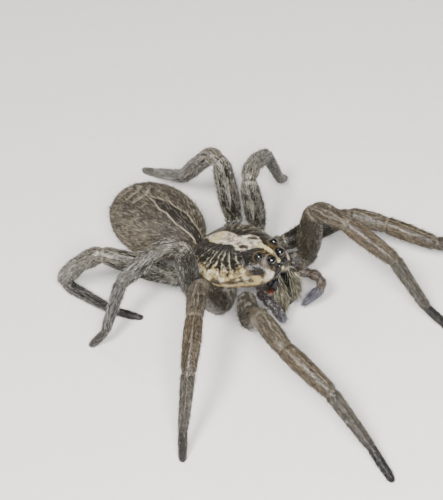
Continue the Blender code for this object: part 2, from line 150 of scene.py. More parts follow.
def ripple(points: np.ndarray, scale: float) -> np.ndarray:
    """Smooth noise from -1 to 1 at points, its waves about 1 / scale long."""
    return np.array([noise.noise(Vector(point)) for point in points * scale])


def ring_angles(sides: int) -> np.ndarray:
    """Angle of each point of a ring."""
    return np.arange(sides) * 2 * math.pi / sides


def tube_quads(rings: int, sides: int) -> Faces:
    """Faces between the rings of a tube."""
    found = []
    for start in range(0, (rings - 1) * sides, sides):
        for side in range(sides):
            after = (side + 1) % sides
            found.append((start + side, start + after, start + sides + after, start + sides + side))
    return found


# ---------------------------------------------------------------- lofts of the skin


@dataclass
class Loft:
    """A closed tube of the skin, with what its finish and coat need at each point.

    way holds place along, and direction across and up round the part. lie is the way that hair points.
    chart is the rectangle that the part takes on the unwrap of the skin.
    """

    name: str
    region: Region
    points: np.ndarray
    way: np.ndarray
    lie: np.ndarray
    chart: tuple[float, float, float, float]

    def flat(self, values: np.ndarray) -> np.ndarray:
        """Ring values as a list of points, with one more for each closing centre."""
        return np.vstack([values.reshape(-1, values.shape[-1]), values[0].mean(0), values[-1].mean(0)])

    def faces(self) -> Faces:
        """Quads along the tube and a fan at each end."""
        rings, sides = self.points.shape[:2]
        found = tube_quads(rings, sides)
        first, last = rings * sides, rings * sides + 1
        end = (rings - 1) * sides
        found += [((s + 1) % sides, s, first) for s in range(sides)]
        found += [(end + s, end + (s + 1) % sides, last) for s in range(sides)]
        return found

    def chart_places(self) -> np.ndarray:
        """Place of every point on the unwrap."""
        rings, sides = self.points.shape[:2]
        left, low, width, height = self.chart
        across, up = np.meshgrid(np.arange(rings) / (rings - 1), np.arange(sides) / sides, indexing="ij")
        return self.flat(np.stack([left + across * width, low + up * height], -1))


@dataclass
class Tube:
    """Centres, directions, places along and lengths run of a smooth jointed path."""

    centre: np.ndarray
    tangent: np.ndarray
    place: np.ndarray
    run: np.ndarray
    joint_runs: list[float]


def jointed_path(joints: list[Vector], reach: list[float], step: float) -> Tube:
    """Path through joints whose corners are arcs.

    Args:
        joints: points from start to tip.
        reach: radius of the tube at each joint.
        step: distance between stations.

    Returns:
        The path, its place counted in segments from the start.
    """
    ways = [(b - a).normalized() for a, b in zip(joints, joints[1:])]
    lengths = [(b - a).length for a, b in zip(joints, joints[1:])]
    trims = [0.0] * len(joints)
    for index in range(1, len(joints) - 1):
        turn = ways[index - 1].angle(ways[index])
        bend = reach[index] + CORNER_OPENING / max(turn, 0.12)
        trims[index] = min(bend * math.tan(turn / 2), CORNER_SHARE * min(lengths[index - 1], lengths[index]))
    centre, tangent, place, middles = [], [], [], []
    for index, (way, length) in enumerate(zip(ways, lengths)):
        first, last = trims[index] / length, 1 - trims[index + 1] / length
        count = max(int((last - first) * length / step), 2)
        for part in np.linspace(first, last, count, endpoint=index == len(ways) - 1):
            centre.append(joints[index] + way * length * part)
            tangent.append(way)
            place.append(index + part)
        if index == len(ways) - 1:
            break
        entry = joints[index] + way * length * last
        turned = way.rotation_difference(ways[index + 1])
        radius = trims[index + 1] / math.tan(turned.angle / 2)
        middle = entry + (ways[index + 1] - way * way.dot(ways[index + 1])).normalized() * radius
        pieces = max(int(radius * turned.angle / step), 6)
        leave = index + 1 + trims[index + 1] / lengths[index + 1]
        for number in range(pieces):
            turn = Matrix.Rotation(turned.angle * number / pieces, 3, turned.axis)
            centre.append(middle + turn @ (entry - middle))
            tangent.append(turn @ way)
            place.append(index + last + (leave - index - last) * number / pieces)
            if number == pieces // 2:
                middles.append(len(centre) - 1)
    centre = np.array(centre)
    run = np.concatenate([[0], np.cumsum(np.linalg.norm(np.diff(centre, axis=0), axis=1))])
    return Tube(centre, np.array(tangent), np.array(place), run, [float(run[m]) for m in middles])


def ring_frames(tangent: np.ndarray) -> tuple[np.ndarray, np.ndarray]:
    """Side and up directions carried along a path without twisting."""
    sides, ups = [], []
    last = Vector(tangent[0])
    side = last.cross(UP).normalized()
    for way in tangent:
        now = Vector(way)
        side.rotate(last.rotation_difference(now))
        last = now
        sides.append(side.copy())
        ups.append(side.cross(now).normalized())
    return np.array(sides), np.array(ups)


def tube_points(tube: Tube, depth: np.ndarray, width: np.ndarray, sides: int) -> Arrays:
    """Rings round a path.

    Args:
        tube: the path.
        depth: half size up and down at each station.
        width: half size across at each station.
        sides: points in a ring.

    Returns:
        Points, ways and lies of the rings.
    """
    side, up = ring_frames(tube.tangent)
    angle = ring_angles(sides)
    cos, sin = np.cos(angle)[None, :, None], np.sin(angle)[None, :, None]
    points = (tube.centre[:, None] + side[:, None] * width[:, None, None] * cos
              + up[:, None] * depth[:, None, None] * sin)
    way = np.stack(np.broadcast_arrays(tube.place[:, None], cos[:, :, 0], sin[:, :, 0]), -1)
    lie = np.broadcast_to(tube.tangent[:, None], points.shape)
    return points, way, lie


@dataclass(frozen=True)
class Shield:
    """The carapace: a dome over head and thorax that closes under its edge."""

    coat: float = 0.05
    rings: int = 150
    sides: int = 128
    crowding: float = 0.09
    fold_under: float = 0.70
    fold_front: float = 0.12
    fold_squareness: float = 0.8
    overhang: float = 0.30
    sections: Stations = (
        (0.020, 1.25, 2.22, 2.50, 0.80), (0.036, 1.52, 2.12, 2.92, 0.74), (0.060, 1.78, 1.92, 3.42, 0.72),
        (0.095, 2.04, 1.60, 4.00, 0.72), (0.145, 2.28, 1.20, 4.42, 0.72), (0.220, 2.64, 0.76, 4.58, 0.74),
        (0.330, 3.28, 0.38, 4.40, 0.80), (0.470, 4.10, 0.13, 3.85, 0.88), (0.620, 4.55, 0.00, 3.20, 0.92),
        (0.770, 4.25, 0.00, 2.60, 0.92), (0.890, 3.30, 0.05, 1.85, 0.90), (0.965, 2.00, 0.15, 1.10, 0.90),
        (1.000, 0.90, 0.25, 0.58, 0.90))

    def loft(self) -> Loft:
        """Closed rings from the face to the rear edge."""
        turn = np.linspace(0, 1, self.rings)
        first, last = self.sections[0][0], self.sections[-1][0]
        along = first + (last - first) * (turn - self.crowding * np.sin(2 * np.pi * turn))
        half_width, low, crest, squareness = smooth_profile(self.sections, along).T[:, :, None]
        angle = ring_angles(self.sides)[None]
        cos, sin = np.cos(angle), np.sin(angle)
        top = sin >= 0
        power = np.where(top, squareness, self.fold_squareness)
        wide = half_width - self.coat
        wide = np.where(top, wide, wide - self.overhang * ease(-sin, 0.0, 0.25))
        fold = self.fold_front + (low + self.fold_under - self.fold_front) * ease(along, 0.06, 0.22)[:, None]
        tall = np.where(top, crest - low - self.coat, fold)
        across = wide * np.sign(cos) * np.abs(cos) ** power
        up = low + tall * np.sign(sin) * np.abs(sin) ** power
        y = np.broadcast_to((along[:, None] - 0.5) * SHIELD_LENGTH, across.shape)
        y = np.where(y < 0, y + self.coat * bell(along[:, None], first, 0.03), y)
        points = np.stack([across, y, up], -1)
        down = np.where(top, 1 - 2 * np.minimum(angle, np.pi - angle) / np.pi, 1 - sin)
        way = np.stack(np.broadcast_arrays(along[:, None], down * np.sign(cos + 1e-9), sin), -1)
        lie = unit(np.stack([across * 0.35, 1.2 + y * 0.12, -np.abs(across) * 0.3], -1))
        return Loft("carapace", Region.SHIELD, points, way, lie, (0.02, 0.58, 0.30, 0.40))


@dataclass(frozen=True)
class Ovoid:
    """A rounded body part stretched to three radii."""

    name: str
    region: Region
    centre: Place
    radii: Place
    coat: float
    chart: tuple[float, float, float, float]
    rings: int = 24
    sides: int = 32
    lie_to: Place = (0.0, 1.0, 0.0)
    rear_swell: float = 0.0
    flat_top: float = 1.0
    pole: float = 0.03

    def loft(self) -> Loft:
        """Closed rings from its front to its rear."""
        turn = np.linspace(self.pole, math.pi - self.pole, self.rings)[:, None]
        angle = ring_angles(self.sides)[None]
        along = -np.cos(turn)
        swell = 1 + self.rear_swell * along - 0.6 * self.rear_swell * along ** 2
        radii = np.array(self.radii) - self.coat
        across = radii[0] * np.sin(turn) * np.cos(angle) * swell
        up = radii[2] * np.sin(turn) * np.sin(angle) * swell
        up = np.where(up > 0, up * self.flat_top, up)
        y = np.broadcast_to(radii[1] * along, across.shape)
        points = np.stack([across, y, up], -1) + np.array(self.centre)
        way = np.stack(np.broadcast_arrays((along + 1) / 2, np.cos(angle), np.sin(angle)), -1)
        lie = np.broadcast_to(np.array(self.lie_to), points.shape)
        return Loft(self.name, self.region, points, way, lie, self.chart)


@dataclass(frozen=True)
class Jaw:
    """The base of one chelicera: an upright oval column under the face."""

    side: int
    offset: float = 1.10
    coat: float = 0.05
    sides: int = 40
    rings: int = 46
    sections: Stations = (
        (-3.66, -5.37, 0.26, 0.28, 0.0), (-3.55, -5.38, 0.50, 0.52, 0.0), (-3.10, -5.40, 0.76, 0.80, 0.0),
        (-2.40, -5.42, 0.92, 1.00, 0.0), (-1.40, -5.40, 1.00, 1.14, 0.08), (-0.40, -5.26, 1.00, 1.16, 0.26),
        (0.40, -5.12, 0.98, 1.12, 0.52), (1.00, -5.03, 0.94, 1.04, 0.72), (1.36, -4.99, 0.84, 0.90, 0.80),
        (1.60, -4.96, 0.66, 0.68, 0.80), (1.72, -4.95, 0.42, 0.42, 0.80))

    def loft(self) -> Loft:
        """Closed rings from the fang's joint up to the face."""
        height = np.linspace(self.sections[0][0], self.sections[-1][0], self.rings)
        along, half_width, half_depth, slant = smooth_profile(self.sections, height).T[:, :, None]
        angle = ring_angles(self.sides)[None]
        forward = (half_depth - self.coat) * np.sin(angle)
        across = self.side * self.offset + (half_width - self.coat) * np.cos(angle) * self.side
        points = np.stack([across, along - forward, height[:, None] + slant * forward], -1)
        way = np.stack(np.broadcast_arrays(height[:, None], np.cos(angle), np.sin(angle)), -1)
        lie = np.broadcast_to(unit(np.array((0.12 * self.side, 0.05, -1.0))), points.shape)
        name = "chelicera_L" if self.side > 0 else "chelicera_R"
        if self.side > 0:
            points, way = points[:, ::-1], way[:, ::-1]
        return Loft(name, Region.JAW, points[:, ::-1], way[:, ::-1], lie,
                    (0.70, 0.58 if self.side > 0 else 0.66, 0.13, 0.07))


@dataclass(frozen=True)
class Palp:
    """One palp, from its trochanter to the tip of its foot."""

    side: str
    joints: tuple[Place, ...]
    radii: tuple[float, ...] = (0.50, 0.56, 0.56, 0.52, 0.24)
    swell: float = 0.12
    foot_swell: float = 0.10
    pinch: float = 0.20
    pinch_width: float = 0.16
    tip: float = 0.12
    tip_share: float = 0.75
    coat: float = 0.05
    sides: int = 28
    step: float = 0.12

    def tube(self) -> Tube:
        """The palp's path."""
        return jointed_path([Vector(j) for j in self.joints], list(self.radii), self.step)

    def loft(self) -> Loft:
        """Closed rings along the palp."""
        tube = self.tube()
        segment = np.clip(tube.place, 0, 3.999).astype(int)
        part = tube.place - segment
        taper = np.where(segment == 3, part ** 2.2, part)
        radii = np.array(self.radii)
        radius = radii[segment] + (radii[segment + 1] - radii[segment]) * taper
        swell = np.where(segment < 3, self.swell, self.foot_swell)
        radius = radius * (1 + swell * np.sin(np.pi * part))
        for middle in tube.joint_runs:
            radius = radius * (1 - self.pinch * bell(tube.run, middle, self.pinch_width))
        radius = radius - self.coat
        radius = radius * np.where(tube.run > tube.run[-1] - self.tip, self.tip_share, 1.0)
        points, way, lie = tube_points(tube, radius, radius, self.sides)
        return Loft(f"palp_{self.side}", Region.PALP, points, way, lie,
                    (0.70, 0.74 if self.side == "L" else 0.82, 0.26, 0.07))


@dataclass(frozen=True)
class Leg:
    """One leg, from its coxa to the tip of its tarsus."""

    name: str
    pose: tuple[Any, ...]
    row: int
    starts: Stations = ((2.9, -2.4, -1.5), (2.95, 0.1, -1.4), (2.95, 2.45, -1.4), (2.2, 4.5, -1.3))
    lengths: Stations = (
        (3.3, 8.3, 4.2, 6.5, 6.8, 4.1), (3.05, 8.2, 4.1, 6.0, 6.5, 3.8), (3.2, 7.6, 3.5, 4.8, 6.4, 3.4),
        (3.1, 9.4, 3.8, 6.8, 7.8, 3.7))
    thickness: tuple[float, ...] = (1.0, 0.98, 0.93, 0.98)
    profile: Stations = (
        (0.0, 1.00, 0.95), (0.15, 1.08, 1.02), (0.55, 1.20, 1.12), (0.92, 1.13, 1.05), (1.08, 1.03, 0.97),
        (1.30, 1.38, 1.16), (1.60, 1.36, 1.12), (1.93, 1.13, 1.03), (2.07, 1.08, 1.02), (2.45, 1.12, 1.06),
        (2.95, 0.98, 0.95), (3.05, 0.98, 0.95), (3.35, 1.05, 1.00), (3.95, 0.87, 0.85), (4.06, 0.80, 0.78),
        (4.30, 0.76, 0.74), (4.96, 0.59, 0.58), (5.05, 0.53, 0.53), (5.45, 0.52, 0.52), (5.90, 0.42, 0.44),
        (6.0, 0.25, 0.28))
    reach: tuple[float, ...] = (1.05, 1.02, 1.08, 0.98, 0.80, 0.52, 0.25)
    pinches: Stations = ((0.22, 0.30), (0.17, 0.24), (0.13, 0.16), (0.18, 0.22), (0.14, 0.16))
    coat: float = 0.055
    coat_lost: float = 0.02
    tip_height: float = -0.06
    sides: int = 36
    step: float = 0.16

    @property
    def pair(self) -> int:
        """Number of the pair, counted from the head."""
        return int(self.name[1])

    def joints(self) -> list[Vector]:
        """Joints from the coxa's start to the tip."""
        found = [Vector(self.starts[self.pair - 1])]
        found[0].x *= 1 if self.name[0] == "L" else -1
        lengths = self.lengths[self.pair - 1]
        for length, (heading, pitch) in zip(lengths, self.pose[:-1]):
            found.append(found[-1] + direction(heading, pitch) * length)
        drop = self.tip_height + FLOOR - found[-1].z
        pitch = math.degrees(math.asin(drop / lengths[-1]))
        found.append(found[-1] + direction(self.pose[-1], pitch) * lengths[-1])
        return found

    def tube(self) -> Tube:
        """The leg's path."""
        reach = [radius * self.thickness[self.pair - 1] for radius in self.reach]
        return jointed_path(self.joints(), reach, self.step)

    def coat_depth(self, place: np.ndarray) -> np.ndarray:
        """Depth of the coat along the leg."""
        return self.coat - self.coat_lost * ease(place, 4.2, 5.6)

    def halves(self, place: np.ndarray) -> np.ndarray:
        """Half depth and half width at places along the leg, its coat and all."""
        return smooth_profile(self.profile, place) * self.thickness[self.pair - 1]

    def loft(self) -> Loft:
        """Closed rings along the leg."""
        tube = self.tube()
        depth, width = (self.halves(tube.place) - self.coat_depth(tube.place)[:, None]).T
        pinch = np.ones_like(depth)
        for middle, (amount, reach) in zip(tube.joint_runs, self.pinches):
            pinch *= 1 - amount * bell(tube.run, middle, reach)
        swell = 1 + 0.05 * bell(tube.place, 0.97, 0.05) + 0.04 * bell(tube.place, 1.06, 0.04)
        points, way, lie = tube_points(tube, depth * pinch * swell, width * pinch * swell, self.sides)
        region = Region.FRONT_LEG if self.pair < 3 else Region.REAR_LEG
        return Loft(f"leg_{self.name}", region, points, way, lie, (0.02, 0.01 + 0.07 * self.row, 0.96, 0.062))


LEG_POSES: dict[str, tuple[Any, ...]] = {
    "L1": ((-48, 3), (-53, 80.5), (-89, -5), (-80, -33), (-87, -56), -82),
    "L2": ((-21, 2), (-41, 14), (-68, -11), (-73, -15), (-45, -19), -51),
    "L3": ((8, 0), (70, 84), (27, -14), (21, -31), (8, -70), 30),
    "L4": ((21, 5), (53, 73), (92, -43), (83, -49), (77, -29), 77),
    "R1": ((-140, 3), (-120, 46), (-111, -8), (-96, -21), (-97, -43), -107),
    "R2": ((-159, 2), (-164, 64), (-145, 0), (-150, -21), (-167, -61), -164),
    "R3": ((172, 0), (43, 79), (136, -21), (154, -27), (170, -56), 118),
    "R4": ((159, 5), (127, 31), (108, -37), (96, -50), (-87, -6), -67),
}
PALP_JOINTS: dict[str, tuple[Place, ...]] = {
    "L": ((2.3, -3.9, -0.6), (3.2, -6.65, -0.8), (3.15, -8.3, -0.45), (2.95, -8.3, -2.05),
          (1.3, -6.8, -4.1)),
    "R": ((-2.3, -3.9, -0.5), (-2.8, -5.0, -0.1), (-3.0, -6.5, -0.7), (-2.75, -6.85, -1.95),
          (-1.6, -6.25, -4.3)),
}
EYES: dict[str, tuple[Place, float]] = {
    "eye_front_middle": ((0.27, -5.50, 2.95), 0.21), "eye_front_side": ((0.80, -5.38, 2.84), 0.17),
    "eye_big": ((0.74, -4.93, 3.90), 0.48), "eye_rear": ((1.33, -3.65, 4.30), 0.38),
}


# ---------------------------------------------------------------- shader graphs


class Value:
    """A number socket that does arithmetic by adding Math nodes."""

    def __init__(self, graph: "Graph", socket: Socket) -> None:
        """Wrap a socket of a graph."""
        self.graph = graph
        self.socket = socket

    def _do(self, operation: str, *others: Any, swap: bool = False) -> "Value":
        """One Math node of an operation on this value and others."""
        terms = [self, *others]
        if swap:
            terms.reverse()
        made = self.graph.node("ShaderNodeMath", {"operation": operation}, dict(enumerate(terms)))
        return Value(self.graph, made.outputs[0])

    def __add__(self, other: Any) -> "Value":
        """Sum."""
        return self._do("ADD", other)

    def __radd__(self, other: Any) -> "Value":
        """Sum, reflected."""
        return self._do("ADD", other, swap=True)

    def __sub__(self, other: Any) -> "Value":
        """Difference."""
        return self._do("SUBTRACT", other)

    def __rsub__(self, other: Any) -> "Value":
        """Difference, reflected."""
        return self._do("SUBTRACT", other, swap=True)

    def __mul__(self, other: Any) -> "Value":
        """Product."""
        return self._do("MULTIPLY", other)

    def __rmul__(self, other: Any) -> "Value":
        """Product, reflected."""
        return self._do("MULTIPLY", other, swap=True)

    def __truediv__(self, other: Any) -> "Value":
        """Quotient."""
        return self._do("DIVIDE", other)

    def __abs__(self) -> "Value":
        """Size without sign."""
        return self._do("ABSOLUTE")

    def power(self, other: Any) -> "Value":
        """Raised to a power."""
        return self._do("POWER", other)

    def sine(self) -> "Value":
        """Sine of an angle in radians."""
        return self._do("SINE")

    def angle_to(self, other: Any) -> "Value":
        """Angle of the point (other, this) in radians."""
        return self._do("ARCTAN2", other)

    def most(self, other: Any) -> "Value":
        """Larger of two."""
        return self._do("MAXIMUM", other)

    def step(self, low: Any, high: Any) -> "Value":
        """Smooth step from 0 at low to 1 at high."""
        made = self.graph.node("ShaderNodeMapRange", {"interpolation_type": "SMOOTHSTEP"},
                               {"Value": self, "From Min": low, "From Max": high})
        return Value(self.graph, made.outputs[0])

    def near(self, centre: Any, width: float) -> "Value":
        """Soft band of height 1 round a centre, gone a width away."""
        return 1 - abs(self - centre).step(0.0, width)


class Nodes:
    """A node tree that is built in code."""

    tree: bpy.types.NodeTree

    def node(self, kind: str, settings: dict[str, Any] | None = None,
             inputs: dict[Any, Any] | None = None) -> bpy.types.Node:
        """Add a node.

        Args:
            kind: its type.
            settings: its properties, set first. Stops of a ramp are pairs of place and colour or number.
            inputs: values or links of its sockets, by name or number.

        Returns:
            The node.
        """
        made = self.tree.nodes.new(kind)
        for key, value in (settings or {}).items():
            if key == "stops":
                self.set_stops(made, value)
            else:
                setattr(made, key, value)
        for key, value in (inputs or {}).items():
            socket = made.inputs[key]
            if isinstance(value, Value):
                value = value.socket
            elif isinstance(value, bpy.types.Node):
                value = value.outputs[0]
            if isinstance(value, Socket):
                self.tree.links.new(value, socket)
            elif isinstance(value, tuple) and len(value) == 3 and socket.type == "RGBA":
                socket.default_value = (*value, 1.0)
            else:
                socket.default_value = value
        return made

    @staticmethod
    def set_stops(ramp: bpy.types.Node, stops: Any) -> None:
        """Give a ramp its stops."""
        elements = ramp.color_ramp.elements
        while len(elements) < len(stops):
            elements.new(1.0)
        for element, (place, colour) in zip(elements, stops):
            element.position = place
            element.color = (*colour, 1.0) if isinstance(colour, tuple) else (colour, colour, colour, 1.0)


class Graph(Nodes):
    """The node tree of one material."""

    def __init__(self, name: str) -> None:
        """Start a material with an empty tree and its output."""
        self.material = bpy.data.materials.new(name)
        self.material.use_nodes = True
        self.tree = self.material.node_tree
        self.tree.nodes.clear()
        self.output = self.tree.nodes.new("ShaderNodeOutputMaterial")

    def ramp(self, value: Any, stops: Any) -> Socket:
        """Colour along stops."""
        return self.node("ShaderNodeValToRGB", {"stops": stops}, {0: value}).outputs["Color"]

    def level(self, value: Any, stops: Stations) -> Value:
        """Number from 0 to 1 along stops."""
        return Value(self, self.ramp(value, stops))

    def vector(self, name: str) -> Socket:
        """A vector that the mesh carries."""
        return self.node("ShaderNodeAttribute", {"attribute_name": name}).outputs["Vector"]

    def number(self, name: str) -> Value:
        """A number that the mesh carries."""
        return Value(self, self.node("ShaderNodeAttribute", {"attribute_name": name}).outputs["Fac"])

    def parts(self, vector: Socket) -> tuple[Value, Value, Value]:
        """The three numbers of a vector."""
        made = self.node("ShaderNodeSeparateXYZ", None, {0: vector})
        return tuple(Value(self, made.outputs[i]) for i in range(3))

    def join(self, x: Any, y: Any, z: Any) -> Socket:
        """A vector of three numbers."""
        return self.node("ShaderNodeCombineXYZ", None, {0: x, 1: y, 2: z}).outputs[0]

    def noise(self, vector: Socket, scale: float, detail: float = 3.0,
              distortion: float = 0.0) -> Value:
        """Noise about 0.5."""
        made = self.node("ShaderNodeTexNoise", None, {
            "Vector": vector, "Scale": scale, "Detail": detail, "Distortion": distortion})
        return Value(self, made.outputs[0])

    def cells(self, vector: Socket, scale: float) -> Value:
        """Distance to the nearest of scattered points."""
        made = self.node("ShaderNodeTexVoronoi", None, {"Vector": vector, "Scale": scale})
        return Value(self, made.outputs[0])

    def blend(self, first: Any, second: Any, factor: Any) -> Socket:
        """Colour from a first to a second, as far as the factor says."""
        first_colour, second_colour, mixed = 6, 7, 2
        made = self.node("ShaderNodeMix", {"data_type": "RGBA"},
                         {0: factor, first_colour: first, second_colour: second})
        return made.outputs[mixed]

    def layered(self, ground: Any, layers: list[tuple[Any, Any]]) -> Any:
        """Colour of a ground under layers, each a colour and how far it covers."""
        for colour, share in layers:
            ground = self.blend(ground, colour, share)
        return ground

    def object_place(self) -> Socket:
        """Place in the piece's own coordinates."""
        return self.node("ShaderNodeTexCoord").outputs["Object"]

    def toned(self, colour: Any, amount: Any) -> Socket:
        """Colour made darker or lighter."""
        made = self.node("ShaderNodeVectorMath", {"operation": "SCALE"}, {0: colour, "Scale": amount})
        return made.outputs[0]

    def bump(self, height: Any, strength: float, distance: float) -> Socket:
        """Normal from a height."""
        made = self.node("ShaderNodeBump", None, {
            "Height": height, "Strength": strength, "Distance": distance})
        return made.outputs[0]

    def surface(self, **inputs: Any) -> bpy.types.Material:
        """Close the material with a Principled shader.

        Args:
            inputs: its sockets, with underscores for spaces.

        Returns:
            The finished material.
        """
        named = {key.replace("_", " "): value for key, value in inputs.items()}
        made = self.node("ShaderNodeBsdfPrincipled", None, named)
        self.tree.links.new(made.outputs[0], self.output.inputs[0])
        return self.material


# ---------------------------------------------------------------- finishes


class Finish:
    """Markings that the skin and the coat of one region share."""

    name = "finish"
    skin_roughness = 0.5
    skin_bump = 0.6
    skin_tone = 1.0
    coat_roughness = 0.5
    coat_tone = 1.1
    coat_pale: Colour = shade(190, 180, 160)
    coat_pale_share = 0.22
    coat_contrast = 0.9
    coat_tip = 0.2
    fuzz = 0.25
    fuzz_tint: Colour = lit(206, 190, 160)
    gloss = 0.4
    down_scale = 22.0
    grain_scale = 9.0
    down_depth = 0.00005

    def marks(self, graph: Graph) -> Any:
        """Colour of the markings."""
        raise NotImplementedError

    def skin(self) -> bpy.types.Material:
        """The skin's material: markings, fine down as bump, and a little gloss between."""
        graph = Graph(f"{self.name}_skin")
        down = graph.noise(graph.vector("comb"), self.down_scale, 4.0)
        grain = graph.noise(graph.vector("place"), self.grain_scale, 4.0)
        tone = 0.55 + 0.75 * down.step(0.30, 0.70) + 0.4 * (grain - 0.5)
        colour = graph.toned(self.marks(graph), self.skin_tone * tone)
        return graph.surface(Base_Color=colour, Roughness=self.skin_roughness + 0.4 * (down - 0.5),
                             Normal=graph.bump(down + 0.5 * grain, self.skin_bump, self.down_depth),
                             Specular_IOR_Level=self.gloss, Sheen_Weight=self.fuzz, Sheen_Tint=self.fuzz_tint)

    def coat(self) -> bpy.types.Material:
        """The coat's material: the same markings, each tuft a little paler or darker."""
        graph = Graph(f"{self.name}_coat")
        tone, out = graph.number("tone"), graph.number("out")
        pale = tone.step(1 - self.coat_pale_share, 1.05 - 0.5 * self.coat_pale_share) * 0.8
        pale = pale.most(out.step(0.35, 0.95) * self.coat_tip)
        contrast = 1 - self.coat_contrast / 2 + self.coat_contrast * tone
        colour = graph.blend(self.marks(graph), self.coat_pale, pale)
        colour = graph.toned(colour, self.coat_tone * contrast * (0.75 + 0.4 * out))
        return graph.surface(Base_Color=colour, Roughness=self.coat_roughness, Specular_IOR_Level=self.gloss)


@dataclass(frozen=True)
class ShieldPlace:
    """Where a point of the carapace is, as sockets.

    place is the point, and x, y and z are its numbers. side is how far it is from the middle line. along runs
    from 0 at the face to 1 at the rear edge, and down from 0 at the crest to 1 at the edge. wobble is slow
    noise about 0, and fine is fine noise about 0.
    """

    place: Socket
    x: Value
    y: Value
    z: Value
    side: Value
    along: Value
    down: Value
    wobble: Value
    fine: Value


